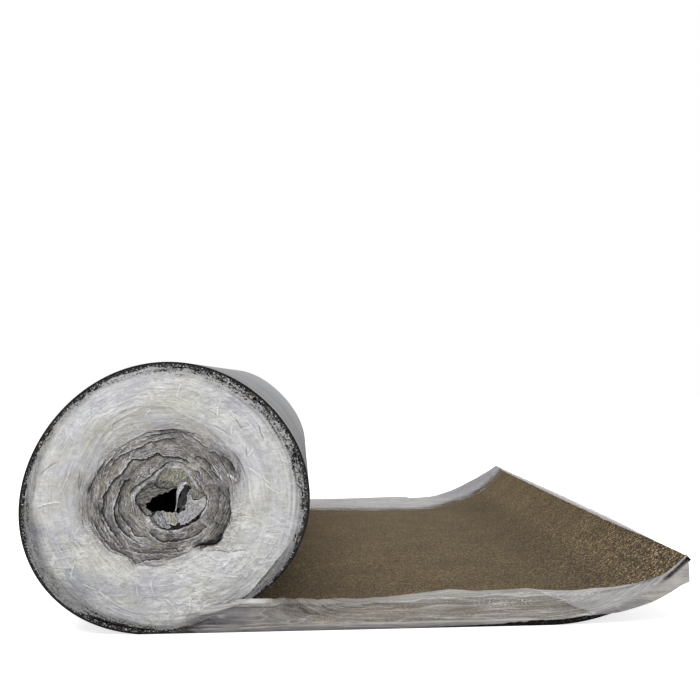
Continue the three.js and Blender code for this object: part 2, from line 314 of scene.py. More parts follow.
class Shader(Nodes):
    """A material's nodes round one Principled surface. Colours are screen colours or nodes' outputs."""

    def __init__(self, name):
        self.material = bpy.data.materials.new(name)
        super().__init__(self.material)
        self.surface = self.node("ShaderNodeBsdfPrincipled")
        self.node("ShaderNodeOutputMaterial", {"Surface": self.surface.outputs["BSDF"]})

    def set(self, **inputs):
        for key, value in inputs.items():
            self.put(self.surface, key.replace("_", " "), value)

    def place(self):
        return self.node("ShaderNodeTexCoord").outputs["Object"]

    def sheet(self):
        """The UV in the sheet's own plane: how far along it and how far across."""
        return self.node("ShaderNodeUVMap", uv_map="sheet").outputs["UV"]

    def number(self, name):
        return self.node("ShaderNodeAttribute", attribute_name=name).outputs["Fac"]

    def parts(self, vector):
        """A vector's three numbers."""
        return self.node("ShaderNodeSeparateXYZ", {"Vector": vector}).outputs

    def vector_maths(self, operation, inputs):
        return self.node("ShaderNodeVectorMath", inputs, operation=operation).outputs

    def stretched(self, vector, *scale):
        return self.node("ShaderNodeMapping", {"Vector": vector, "Scale": scale}).outputs["Vector"]

    def noise(self, vector, scale, detail=3.0, roughness=0.5, distortion=0.0):
        return self.node("ShaderNodeTexNoise", {
            "Vector": vector, "Scale": scale, "Detail": detail, "Roughness": roughness,
            "Distortion": distortion}).outputs["Fac"]

    def grains(self, vector, scale):
        """Cells round scattered points: how far off the point is, and the cell's own random numbers."""
        cells = self.node("ShaderNodeTexVoronoi", {"Vector": vector, "Scale": scale}).outputs
        return cells["Distance"], self.node("ShaderNodeSeparateColor", {"Color": cells["Color"]}).outputs

    def random_tint(self, vector, scale, low, high):
        """Cells that each have their own colour between two."""
        _, own = self.grains(vector, scale)
        return self.ramp(own["Red"], [(0.0, *low), (1.0, *high)])

    def ramp(self, value, stops, interpolation="LINEAR"):
        """The value read off a scale of (position, level) or (position, red, green, blue)."""
        node = self.node("ShaderNodeValToRGB", {"Fac": value})
        ramp = node.color_ramp
        ramp.interpolation = interpolation
        while len(ramp.elements) < len(stops):
            ramp.elements.new(0.5)
        for element, (position, *shade) in zip(ramp.elements, stops):
            element.position = position
            element.color = colour(*shade) if len(shade) == 3 else (*shade * 3, 1.0)
        return node.outputs["Color"]

    def mix(self, share, a, b, blend="MIX"):
        node = self.node("ShaderNodeMix", data_type="RGBA", blend_type=blend)
        for key, value in ((0, share), (6, a), (7, b)):
            self.put(node, key, colour(*value) if isinstance(value, tuple) else value)
        return node.outputs[2]

    def dimmed(self, a, b, share=1.0):
        """One colour multiplied by another."""
        return self.mix(share, a, b, "MULTIPLY")

    def bump(self, height, depth, strength):
        return self.node("ShaderNodeBump", {
            "Height": height, "Distance": depth, "Strength": strength}).outputs["Normal"]


GRANULE_SIZE = 1.55 * MM
FLECK_SIZE = 0.95 * MM


def mineral_material():
    """Slate granules pressed into bitumen: each its own brown, with dark gaps between them."""
    shader = Shader("mineral_granules")
    place = shader.place()
    along, across, _ = shader.parts(place)
    from_front = shader.plus(across, HALF_WIDTH)
    from_middle, own = shader.grains(place, 1 / GRANULE_SIZE)
    granule = shader.ramp(own["Red"], [
        (0.0, 72, 60, 41), (0.14, 99, 84, 58), (0.36, 123, 105, 72), (0.60, 139, 119, 81),
        (0.80, 132, 115, 90), (0.92, 164, 143, 104), (0.985, 200, 183, 150)], "CONSTANT")
    open_granule = shader.ramp(own["Red"], [
        (0.0, 14, 13, 10), (0.30, 60, 52, 37), (0.50, 120, 101, 72), (0.70, 164, 141, 108),
        (0.88, 212, 188, 152), (0.975, 244, 232, 208)], "CONSTANT")
    # The granules stand out most at the cut end's near corner and along the near edge.
    on_curl = shader.ramp(along, [(0.35, 0.0), (0.44, 1.0)])
    to_front = shader.ramp(from_front, [(0.05, 1.0), (0.45, 0.1)])
    near_edge = shader.ramp(from_front, [(0.02, 0.45), (0.16, 0.0)])
    crisp = shader.larger(shader.times(on_curl, to_front), near_edge)
    towards_back = shader.ramp(from_front, [(0.35, 0.0), (0.85, 0.5)])
    granule = shader.mix(towards_back, granule, (122, 105, 75))
    granule = shader.mix(crisp, granule, open_granule)
    gap = shader.times(shader.minus(from_middle, 0.46), 3.2, clamp=True)
    toned = shader.mix(gap, granule, (52, 44, 30))
    patches = shader.noise(place, 14.0, 4.0, 0.6)
    shade = shader.ramp(patches, [(0.3, 214, 208, 196), (0.7, 255, 252, 246)])
    # Painted shading: lighter by the roll against its shadow, a shade band where the bend starts, light past
    # it.
    painted_tail_shading = shader.ramp(along, [
        (0.06, 255, 255, 253), (0.15, 252, 250, 247), (0.24, 228, 226, 220), (0.335, 227, 225, 219),
        (0.362, 216, 214, 207), (0.385, 203, 201, 193), (0.402, 206, 204, 196), (0.418, 238, 236, 229),
        (0.445, 244, 242, 236), (0.462, 234, 232, 226)])
    shader.set(Base_Color=shader.dimmed(toned, shader.dimmed(shade, painted_tail_shading)), Roughness=0.82)
    shader.set(Specular_IOR_Level=0.25)
    shader.set(Normal=shader.bump(shader.minus(1.0, from_middle), 0.5 * MM, 0.9))
    return shader.material


def release_film_material():
    """The thin film bonded under the sheet, drawn tight over black bitumen: smooth, satin and grey."""
    shader = Shader("release_film")
    place = shader.place()
    clouds = shader.noise(shader.stretched(place, 0.35, 1.0, 0.35), 15.0, 4.0, 0.55)
    streaks = shader.noise(shader.stretched(place, 0.06, 1.0, 0.06), 150.0)
    tone = shader.ramp(clouds, [(0.25, 108, 110, 113), (0.75, 130, 131, 134)])
    fine = shader.ramp(streaks, [(0.35, 240, 240, 240), (0.65, 255, 255, 255)])
    from_front = shader.plus(shader.maths("DIVIDE", shader.parts(place)["Y"], SHEET_WIDTH), 0.5)
    # Painted shade, darkest at the front end and fading towards the back
    painted_shade_to_front = shader.ramp(from_front, [
        (0.0, 150, 150, 153), (0.15, 166, 166, 169), (0.5, 208, 208, 210), (1.0, 250, 250, 251)])
    tone = shader.dimmed(shader.dimmed(tone, fine), painted_shade_to_front)
    scuffs = fold_lines(shader, shader.stretched(place, 1.0, 0.5, 1.0), 26.0, 0.004, 3.0)[0]
    dusty = shader.ramp(shader.noise(place, 9.0, 3.0, 0.6), [(0.48, 0.0), (0.7, 0.26)])
    tone = shader.mix(dusty, tone, (150, 149, 147))
    tone = shader.mix(shader.times(scuffs, 0.18), tone, (190, 190, 192))
    shader.set(Base_Color=tone, Roughness=shader.ramp(clouds, [(0.3, 0.32), (0.7, 0.46)]))
    shader.set(Specular_IOR_Level=0.2)
    waves = shader.noise(shader.stretched(place, 0.3, 1.0, 0.3), 34.0, 2.0)
    heights = shader.plus(shader.times(waves, 2.5), shader.times(streaks, 0.15))
    shader.set(Normal=shader.bump(heights, 1.0 * MM, 0.5))
    return shader.material


def cut_edge_material():
    """The sheet's cut edge: black bitumen, a broken thread of film on one side, granules on the other."""
    shader = Shader("cut_edge")
    place = shader.place()
    across = shader.parts(shader.sheet())["Y"]
    out_along = shader.parts(place)["X"]
    from_middle, own = shader.grains(place, 1 / FLECK_SIZE)
    fleck = shader.ramp(own["Green"], [
        (0.0, 10, 10, 11), (0.24, 28, 27, 28), (0.44, 50, 48, 48), (0.64, 82, 78, 77),
        (0.82, 134, 129, 126), (0.94, 206, 203, 200)], "CONSTANT")
    soot = shader.noise(place, 420.0, 3.0, 0.6)
    bitumen = shader.ramp(soot, [(0.3, 8, 8, 9), (0.6, 26, 25, 27), (0.72, 66, 63, 65)])
    stony = shader.times(shader.minus(across, 0.26), 3.0, clamp=True)
    stony = shader.times(stony, shader.ramp(out_along, [(0.13, 1.0), (0.2, 0.12)]))
    body = shader.mix(stony, bitumen, fleck)
    thread = shader.times(shader.minus(0.08, across), 20.0, clamp=True)
    broken = shader.ramp(shader.noise(place, 60.0, 3.0, 0.6), [(0.48, 0.1), (0.6, 1.0)])
    shader.set(Base_Color=shader.mix(shader.times(thread, broken), body, (92, 91, 98)))
    shader.set(Roughness=shader.ramp(soot, [(0.3, 0.32), (0.7, 0.6)]))
    shader.set(Specular_IOR_Level=shader.ramp(out_along, [(0.13, 0.12), (0.2, 0.02)]))
    shader.set(Normal=shader.bump(shader.plus(soot, from_middle), 0.4 * MM, 0.7))
    return shader.material


def swirl(shader, stretch):
    """A place over the roll's end whose noise is drawn out round the axis and wanders a little in and out."""
    place = shader.place()
    x, _, z = shader.parts(place)
    flat = shader.node("ShaderNodeCombineXYZ", {"X": x, "Y": shader.minus(z, AXIS_HEIGHT)}).outputs[0]
    radius = shader.vector_maths("LENGTH", {0: flat})["Value"]
    heading = shader.vector_maths("NORMALIZE", {0: flat})["Vector"]
    tight = shader.vector_maths("SCALE", {0: heading, "Scale": stretch})["Vector"]
    wander = shader.times(shader.noise(place, 38.0, 2.0), 9 * MM)
    out = shader.node("ShaderNodeCombineXYZ", {"Z": shader.plus(radius, wander)}).outputs[0]
    return shader.vector_maths("ADD", {0: tight, 1: out})["Vector"]


def fold_lines(shader, vector, scale, width, detail=2.0):
    """Sharp folds that wander and cross: the light on one side of each, and the dark on the other."""
    noise = shader.noise(vector, scale, detail, 0.55)
    light_side = [(0.5, 0.0), (0.5 + width, 1.0), (0.5 + 2.4 * width, 0.0)]
    dark_side = [(0.5 - 2.4 * width, 0.0), (0.5 - width, 1.0), (0.5, 0.0)]
    return [shader.ramp(noise, stops) for stops in (light_side, dark_side)]


def combined_folds(shader, sets):
    """The strongest light and the strongest dark of several sets of fold lines, each with its share."""
    lit = shaded = 0.0
    for (light_side, dark_side), share in sets:
        lit = shader.larger(lit, shader.times(light_side, share))
        shaded = shader.larger(shaded, shader.times(dark_side, share))
    return lit, shaded


def slanted(shader, degrees, squeeze):
    """A place over the roll's end whose noise is drawn out along one slope."""
    return shader.node("ShaderNodeMapping", {
        "Vector": shader.place(), "Rotation": (0.0, math.radians(degrees), 0.0),
        "Scale": (squeeze, 1.0, 1.0)}).outputs["Vector"]


def crumpled_film_material():
    """Milky film, crumpled many layers deep: pale on the outer ring, greyer beige over the inner turns."""
    shader = Shader("crumpled_film")
    place, wound = shader.place(), swirl(shader, 13 * MM)
    toned, strokes, tint = (shader.number(name) for name in ("tone", "strokes", "green"))
    # The pale film
    clouds = shader.noise(place, 30.0, 4.0, 0.6)
    pearl = shader.ramp(clouds, [(0.36, 204, 203, 210), (0.48, 216, 216, 216), (0.62, 227, 226, 222)])
    cream = shader.ramp(shader.noise(place, 24.0, 3.0, 0.55), [(0.5, 0.0), (0.62, 1.0)])
    white = shader.mix(shader.times(cream, 0.6), pearl, (212, 211, 195))
    large = shader.random_tint(shader.stretched(place, 1.0, 1.0, 1.4), 64.0, (240, 240, 243), (255, 255, 253))
    # Painted light and shade: each small crumple facet a little lighter or darker
    painted_facets = shader.random_tint(slanted(shader, 35, 0.6), 380.0, (232, 232, 234), (255, 255, 255))
    white = shader.dimmed(shader.dimmed(white, large), painted_facets)
    # The greyer beige film over the inner turns
    beige = shader.ramp(clouds, [(0.34, 105, 97, 91), (0.66, 141, 133, 123)])
    hue = shader.noise(place, 75.0, 3.0, 0.6)
    hued = shader.ramp(hue, [(0.38, 240, 235, 247), (0.5, 249, 246, 243), (0.62, 253, 250, 228)])
    flecked = shader.random_tint(wound, 560.0, (205, 203, 202), (255, 255, 255))
    tone = shader.mix(toned, white, shader.dimmed(shader.dimmed(beige, hued), flecked))
    tone = shader.mix(shader.larger(tint, 0.0), tone, (150, 147, 114))
    tone = shader.mix(shader.larger(shader.times(tint, -1.0), 0.0), tone, (158, 162, 173))
    fibres = shader.noise(wound, 620.0, 3.0, 0.6)
    ribs = shader.ramp(fibres, [(0.36, 190, 186, 184), (0.52, 255, 255, 255)])
    ribbed = shader.plus(0.2, shader.times(toned, 0.4))
    tone = shader.dimmed(tone, ribs, ribbed)
    # Fold lines, which run round the axis or, where the strokes number says so, on a slant
    # Each fold line has painted light on one side and painted shade on the other
    patches = shader.ramp(shader.noise(place, 48.0, 2.0), [(0.44, 0.0), (0.58, 1.0)])
    along_turns = shader.minus(1.0, strokes)
    lit, shaded = combined_folds(shader, [
        (fold_lines(shader, place, 80.0, 0.014, 3.0), 0.8),
        (fold_lines(shader, wound, 170.0, 0.03), along_turns),
        (fold_lines(shader, wound, 420.0, 0.05), shader.times(along_turns, 0.7)),
        (fold_lines(shader, slanted(shader, 40, 0.25), 170.0, 0.03), strokes),
        (fold_lines(shader, slanted(shader, 112, 0.4), 150.0, 0.02), shader.times(strokes, patches))])
    faint = shader.plus(0.45, shader.times(shader.ramp(clouds, [(0.4, 0.0), (0.6, 1.0)]), 0.55))
    lit, shaded = shader.times(lit, faint), shader.times(shaded, faint)
    # Painted highlights from the folds' lit sides and the light number, painted shade from their shaded sides
    bright = shader.plus(shader.times(lit, 0.75), shader.number("light"), clamp=True)
    tone = shader.mix(shader.times(shaded, 0.55), tone, (112, 109, 110))
    tone = shader.mix(shader.times(bright, 0.7), tone, (243, 243, 247))
    # The dark number: painted shade under edges and in hollows, together with darker film
    shader.set(Base_Color=shader.mix(shader.number("dark"), tone, (24, 22, 22)))
    shader.set(Roughness=shader.ramp(shader.noise(place, 900.0, 2.0), [(0.3, 0.28), (0.7, 0.5)]))
    wrinkles = shader.plus(shader.times(fibres, shader.plus(0.15, ribbed)),
                           shader.times(shader.noise(place, 300.0, 3.0, 0.6, 0.6), 0.35))
    wrinkles = shader.plus(wrinkles, shader.times(lit, 0.4))
    shader.set(Normal=shader.bump(wrinkles, 1.0 * MM, 0.7))
    # Specks and streaks where the film is torn away, and the share of it that is clear
    streaky = shader.ramp(shader.noise(wound, 640.0, 3.0, 0.6), [(0.32, 0.0), (0.68, 1.0)])
    _, own = shader.grains(place, 820.0)
    speckle = shader.plus(shader.times(own["Red"], 0.55), shader.times(streaky, 0.45))
    past = shader.minus(shader.times(shader.number("torn"), 1.2), speckle)
    gone = shader.plus(shader.times(past, 2.4), 0.06, clamp=True)
    shader.set(Alpha=shader.times(shader.minus(1.0, gone), shader.minus(1.0, shader.number("clear"))))
    return shader.material


def folded_film_material():
    """One or two plies of the same film over the sheet's edge: clear enough to see the sheet through it."""
    shader = Shader("folded_film")
    place = shader.place()
    clouds = shader.noise(place, 40.0, 3.0, 0.6)
    tint = shader.ramp(clouds, [(0.34, 163, 159, 158), (0.66, 190, 184, 172)])
    plies = shader.noise(shader.stretched(place, 0.1, 1.0, 1.0), 260.0, 3.0, 0.6)
    shade = shader.ramp(plies, [(0.38, 200, 198, 199), (0.58, 255, 255, 255)])
    tone = shader.dimmed(tint, shade, 0.7)
    # Fold lines with painted light on one side and painted shade on the other
    long_folds = fold_lines(shader, shader.stretched(place, 0.08, 1.0, 1.0), 70.0, 0.012)
    short_folds = fold_lines(shader, shader.stretched(place, 0.4, 1.0, 1.0), 50.0, 0.006, 3.0)
    lit, shaded = (shader.larger(long, shader.times(short, 0.5))
                   for long, short in zip(long_folds, short_folds))
    # Painted highlights and painted shade, with the light and dark numbers
    bright = shader.plus(shader.times(lit, 0.5), shader.number("light"), clamp=True)
    dull = shader.plus(shader.times(shaded, 0.5), shader.number("dark"), clamp=True)
    tone = shader.mix(shader.times(dull, 0.8), tone, (104, 102, 109))
    tone = shader.mix(shader.times(bright, 0.7), tone, (224, 223, 225))
    shader.set(Base_Color=tone, Roughness=0.34)
    heights = shader.plus(shader.times(plies, 0.7), shader.times(lit, 0.4))
    shader.set(Normal=shader.bump(heights, 0.8 * MM, 0.6))
    misty = shader.ramp(plies, [(0.35, 1.12), (0.65, 0.84)])
    thin = shader.times(shader.number("clear"), misty)
    marked = shader.larger(shader.times(bright, 0.45), shader.times(dull, 0.25))
    shader.set(Alpha=shader.minus(1.0, shader.minus(thin, marked, clamp=True), clamp=True))
    return shader.material


# ---------------------------------------------------------------- the felt sheet

MINERAL, FILM_BACKED, CUT_EDGE = 0, 1, 2
GROOVE = 1.8 * MM


def nip():
    """Where the sheet's outer side comes down onto the unrolled stretch: how far it has wound, and its X."""
    turned = np.linspace(0.7 * TURN, TURN, 4000)
    z = AXIS_HEIGHT + wound_radius(turned) * np.sin(START_ANGLE - turned)
    wound = float(turned[np.argmax(z < SHEET_THICKNESS)])
    return wound, float(roll_point(START_ANGLE - wound, wound_radius(wound), -HALF_WIDTH)[0])


NIP_TURN, NIP_X = nip()
CURL_LENGTHS = np.linspace(END_OF_SHEET, FLAT_END, 40)
FLAT_LENGTHS = np.linspace(FLAT_END, TAIL_START, 50)
TURN_STEPS = 192


def edge_profile(across, low_side, high_side):
    """How deep the sheet's edge lies behind its end plane, from its outer side (0) to its inner side (1)."""
    return low_side * (1 - between(0.0, 0.14, across)) + high_side * between(0.8, 1.0, across)


def sheet_edges(felt, side):
    """One end of the whole sheet: along the tail, then in through every turn to the bore."""
    y = side * HALF_WIDTH
    across = np.array([0.0, 0.06, 0.16, 0.4, 0.65, 0.82, 0.93, 1.0])[None, :]
    length = np.concatenate([CURL_LENGTHS, FLAT_LENGTHS[1:]])[:, None]
    inner_gap = GROOVE * (1 - between(NIP_X - 6 * MM, NIP_X + 4 * MM, length))
    rough = 0.2 * MM * drift(length / (2.5 * MM), across * 3, 5) * np.sin(math.pi * across)
    points = tail_point(length, y, across * SHEET_THICKNESS)
    points[..., 1] -= side * (edge_profile(across, 0.0, inner_gap) + np.maximum(0, rough))
    felt.add(points, (length - END_OF_SHEET, across), CUT_EDGE, flip=side > 0)
    turned = np.linspace(0, TURN * (TURNS - 1), TURN_STEPS * (TURNS - 1) + 1)[:, None]
    outer, inner = wound_radius(turned), wound_radius(turned + TURN)
    free = between(NIP_TURN, NIP_TURN + 0.12, turned)
    rough = 0.25 * MM * drift(turned * 40, across * 3, 9) * np.sin(math.pi * across)
    points = roll_point(START_ANGLE - turned, outer + (inner - outer) * across, y)
    points[..., 1] -= side * (edge_profile(across, GROOVE * free, GROOVE) + np.maximum(0, rough))
    felt.add(points, (ROLL_RADIUS * turned, across), CUT_EDGE, flip=side > 0)


def felt_sheet():
    """The sheet's faces: outside of the tail and the roll, granules, cut end, bore and the two edges."""
    felt = Patchwork()
    y = np.linspace(-HALF_WIDTH, HALF_WIDTH, 25)[None, :]
    curl, flat = CURL_LENGTHS[:, None], FLAT_LENGTHS[:, None]
    for length in (curl, flat):
        felt.add(tail_point(length, y, 0.0), (length, y), FILM_BACKED)
    turned = np.linspace(0, TURN, TURN_STEPS + 1)
    turned = np.append(turned[turned < NIP_TURN], NIP_TURN)[:, None]
    outside = roll_point(START_ANGLE - turned, wound_radius(turned), y)
    felt.add(outside, (ROLL_RADIUS * turned, y), FILM_BACKED)
    for length in (curl, np.linspace(FLAT_END, NIP_X, 50)[:, None]):
        felt.add(tail_point(length, y, SHEET_THICKNESS), (length, y), MINERAL, flip=True)
    above = np.linspace(0, SHEET_THICKNESS, 5)[:, None]
    felt.add(tail_point(END_OF_SHEET, y, above), (y, above / SHEET_THICKNESS), CUT_EDGE, flip=True)
    turned = np.linspace(TURN * (TURNS - 1), TURN * TURNS, 60)[:, None]
    bore_y = np.linspace(-HALF_WIDTH + GROOVE, HALF_WIDTH - GROOVE, 9)[None, :]
    bore = roll_point(START_ANGLE - turned, wound_radius(turned), bore_y)
    felt.add(bore, (turned, bore_y), FILM_BACKED, flip=True)
    for side in (FRONT, BACK):
        sheet_edges(felt, side)
    materials = [mineral_material(), release_film_material(), cut_edge_material()]
    return finish_piece(felt.make("felt_sheet_surface", materials), "felt", "felt_sheet")


# ---------------------------------------------------------------- the film over the roll's ends
#
# All sizes in the film's tables and functions are in mm, but its points are in metres. The tables' angles are
# in degrees, anticlockwise from the right as the front end is seen. The back end has the same shapes, half a
# turn on.

# Each film point's tone; light: painted highlights, and the pale film over the near strip by the roll;
# dark: painted shade together with darker film; its green tint, clearness, slant of strokes and tearing
NUMBERS = ("tone", "light", "dark", "green", "clear", "strokes", "torn")
FILM_CLEARANCE = 0.5
COLLAR_RISE, COLLAR_SOFTNESS = 9, 11
COLLAR_GRIDS = (320, 60), (800, 120), (440, 80)
WHORL_GRIDS = (300, 50), (740, 132), (420, 80)
STRIP_GRIDS = (220, 40), (700, 88), (420, 64)

# [angle, how much of the outermost turns is bare, how wide the thin film inside that is, and how torn and how
# clear that is, in percent]
RIM = np.array([
    [0, 3.8, 7, 52, 32], [7, 3.8, 8, 50, 32], [18, 3.8, 9.5, 52, 32], [27, 3.8, 11, 52, 34],
    [37, 3.8, 11, 54, 36], [48, 3.6, 9.5, 56, 36], [60, 3.6, 8.5, 56, 34], [72, 3.6, 8, 54, 34],
    [82, 3.6, 8.5, 52, 34], [92, 3.6, 8.5, 50, 36], [104, 4, 6.5, 50, 38], [120, 4, 5, 46, 36],
    [136, 3.6, 5, 36, 34], [154, 4, 7, 34, 42], [171, 4.4, 9, 36, 50], [183, 4.4, 11, 36, 54],
    [195, 3.5, 12, 34, 54], [210, 2.9, 13, 28, 52], [222, 2.9, 14, 24, 48], [231, 3.6, 13, 28, 42],
    [239, 6.6, 9, 46, 40], [246, 7.4, 7, 50, 36], [252, 6.2, 5.5, 50, 34], [258, 4.6, 4.5, 44, 36],
    [264, 3.4, 5, 36, 38], [272, 2.6, 4.5, 28, 36], [281, 2.2, 5, 20, 32], [292, 4, 6, 36, 48],
    [302, 2.4, 5, 28, 50], [312, 2.8, 5.5, 10, 60], [320, 3.2, 7.5, 10, 62], [330, 3.4, 9, 10, 62],
    [336, 3.8, 7, 30, 50], [342, 4.2, 5, 50, 34], [352, 4, 6, 52, 32],
])
# Between these angles, fading in and out, the thin film along the rim is a plain clear crescent.
CRESCENT = (304, 312, 334, 342)
# [angle, radius] where the broad outer film ends over the whorl
COLLAR_EDGE = np.array([
    [0, 56], [10, 61], [20, 66.5], [28, 68], [40, 65.5], [60, 63], [80, 61.5], [100, 59.5], [120, 58.5],
    [140, 61], [160, 63], [170, 66], [186, 71], [205, 66], [224, 62.5], [236, 59], [244, 61.5], [252, 55.5],
    [270, 51.5], [286, 50], [300, 48.5], [309, 52], [318, 59.5], [324, 60], [331, 58.2], [343, 60],
    [352, 57.5],
])
# [angle, radius] of the rim where the innermost film turns down into the pocket
POCKET_RIM = np.array([
    [0, 35.5], [8, 31], [16, 28], [30, 27], [45, 27.5], [58, 29], [75, 26.5], [90, 25], [104, 22.5],
    [116, 18], [124, 17.5], [134, 19.5], [150, 21], [170, 25], [182, 26], [196, 23.5], [228, 20.5],
    [243, 22.5], [262, 25.5], [284, 27.3], [302, 29], [320, 31], [330, 34], [338, 33.2], [350, 35],
])
# Where one leaf of film ends over the next one in: the step down, how dark the painted shade under the edge
# is, and the [angle, radius] of the edge on its way round
LEAVES = [
    (1.6, 0.75, [[76, 53.6], [90, 52], [99, 50.4], [104, 51.4], [113, 49.6], [125, 51], [138, 54.4],
        [149, 54.2]]),
    (2.4, 0.9, [[53, 37], [60, 38.6], [66, 38], [71, 38.7], [78, 37], [92, 37.2], [99, 41], [104, 39.2],
        [114, 38.4], [121, 40.6], [129, 45], [137, 43.6], [149, 43.3], [158, 47], [168, 49.5], [176, 53],
        [185, 53], [189, 55.4], [200, 54], [210, 53], [220, 52.2]]),
    (2.4, 0.95, [[147, 35], [155, 38.2], [168, 39.6], [178, 41], [188, 44], [198, 46], [212, 46.4],
        [230, 44]]),
    (1.8, 0.75, [[172, 37.6], [184, 40], [192, 41.5], [207, 39.6], [219, 38.6], [230, 40.6], [238, 37.6],
        [248, 35]]),
    (2.4, 0.95, [[242, 31], [250, 33], [258, 35.2], [267, 37.4], [274, 36.6], [288, 37.8], [300, 39.6],
        [313, 41.8], [328, 42.6]]),
    (1.2, 0.6, [[236, 52.6], [245, 50.3], [255, 48.2], [266, 46], [282, 46], [292, 47]]),
    (1, 0.5, [[254, 44.6], [268, 43], [284, 43.4], [300, 46], [318, 47.6]]),
    (1.6, 0.8, [[15, 52], [23, 49.4], [31, 47], [39, 49.4], [45, 48.6], [56, 45.6]]),
    (1.2, 0.9, [[17, 45.4], [27, 43.4], [34, 42.8], [43, 40.4]]),
    (1, 0.6, [[22, 38.4], [31, 36], [38, 37.8], [44, 35.2], [56, 34.4]]),
    (1, 0.6, [[46, 57.6], [57, 57.2], [66, 59], [77, 59.6], [88, 57.2], [100, 56.2], [110, 57.4]]),
    (0.9, 0.5, [[116, 56.6], [126, 56.2], [133, 58.4], [141, 57.2], [154, 59.2], [164, 57.4]]),
    (1, 0.6, [[180, 57], [196, 57], [204, 56], [212, 56.6], [228, 54.8]]),
    (1.2, 0.6, [[326, 45.6], [338, 45.2], [346, 46.8], [358, 46.4], [366, 49], [374, 48]]),
    (1.3, 0.7, [[350, 52], [358, 54.4], [363, 51.4], [369, 50.4]]),
    (1.6, 0.8, [[18, 63.6], [24, 65.6], [31, 64.6], [38, 61.4]]),
    (1.6, 0.9, [[74, 32.4], [80, 33.6], [88, 31.6], [96, 28], [106, 26.2], [120, 24]]),
    (1.4, 0.8, [[112, 25], [124, 23.4], [142, 24.8], [154, 27.6], [166, 31], [174, 30.4]]),
    (1.2, 0.6, [[346, 38], [356, 37.8], [368, 34.6], [382, 32], [396, 31]]),
    (4.2, 1, [[298, 47.6], [309, 51.4], [318, 58.6], [324, 59.2], [331, 57.6], [338, 58.4]]),
    (2, 0.95, [[326, 57.8], [334, 57.8], [343, 58.8], [352, 56.6], [362, 55.4], [372, 56]]),
    (1.2, 0.7, [[328, 51], [340, 52.4], [350, 51.6], [360, 52.6]]),
    (1.5, 0.8, [[196, 64], [208, 62.5], [222, 61.8], [232, 58.4], [240, 58], [245, 60.4], [252, 54.6],
        [268, 50.6]]),
    (1.3, 0.7, [[62, 62], [76, 60.6], [86, 61.2], [96, 59.2]]),
    (1.4, 0.7, [[146, 61.4], [158, 62.2], [168, 64.6], [176, 65.4]]),
]
# Patches of the whorl that differ from the rest of it: [angle, radius, half the spread in degrees, half the
# spread in mm, and how much darker, greener (below 0, bluer) and lighter]
# Their darker and lighter are partly the film's own tone and partly painted shade and painted highlights.
PATCHES = np.array([
    [28, 62, 10, 4.6, 0.26, 0.1, 0], [24.5, 63.6, 4.5, 2, 0.3, -0.1, 0], [19.4, 64, 2.6, 1.5, 0.5, -0.2, 0],
    [20.2, 58.1, 1.5, 0.9, -0.3, 0.1, 0.5], [18.4, 59.7, 1.5, 0.9, -0.3, 0.1, 0.55],
    [16.6, 61.2, 1.5, 0.9, -0.3, 0, 0.55], [14.8, 62.8, 1.5, 0.9, -0.3, 0, 0.45],
    [30, 50.4, 7, 0.9, -0.2, 0.1, 0.36], [19, 51.6, 4, 0.9, -0.2, 0.1, 0.36],
    [46, 62, 10, 2.5, 0.12, -0.5, 0], [117, 46.5, 9, 3.2, 0.4, -0.5, 0], [147, 51, 5, 3.5, 0.1, 0.3, 0],
    [154, 46.6, 6, 3, 0.42, 0.5, 0], [344, 54.5, 9, 5, 0.22, 0.15, 0], [323, 57.4, 6, 3, 0.9, 0, 0],
    [315, 54.6, 5.5, 3, 0.9, 0, 0], [309, 51.4, 3.5, 1.8, 0.6, 0, 0], [258, 39.4, 9, 2, 0, 0.6, 0.1],
    [200, 31.5, 20, 5.4, -0.08, 0.25, 0], [226, 27, 17, 4.6, 0, 0.2, 0], [150, 36, 16, 3, 0.3, 0.1, 0],
    [160, 31, 9, 3.2, 0.4, 0.3, 0], [10, 31, 10, 3, 0.1, 0.5, 0], [64, 43.6, 4.5, 2.6, 0.3, 0.1, 0],
    [98, 43, 14, 2.4, 0.3, 0, 0], [275, 33, 20, 3, -0.1, 0, 0.12], [186, 56, 14, 3, 0.3, 0, 0],
    [182, 47.5, 14, 3.5, 0.16, 0, 0], [268, 46, 34, 8, 0.12, 0, 0], [92, 50, 32, 8, 0.12, 0, 0],
    [206, 50, 20, 2.6, 0.34, 0, 0], [340, 44, 16, 4, 0.1, 0.3, 0],
])
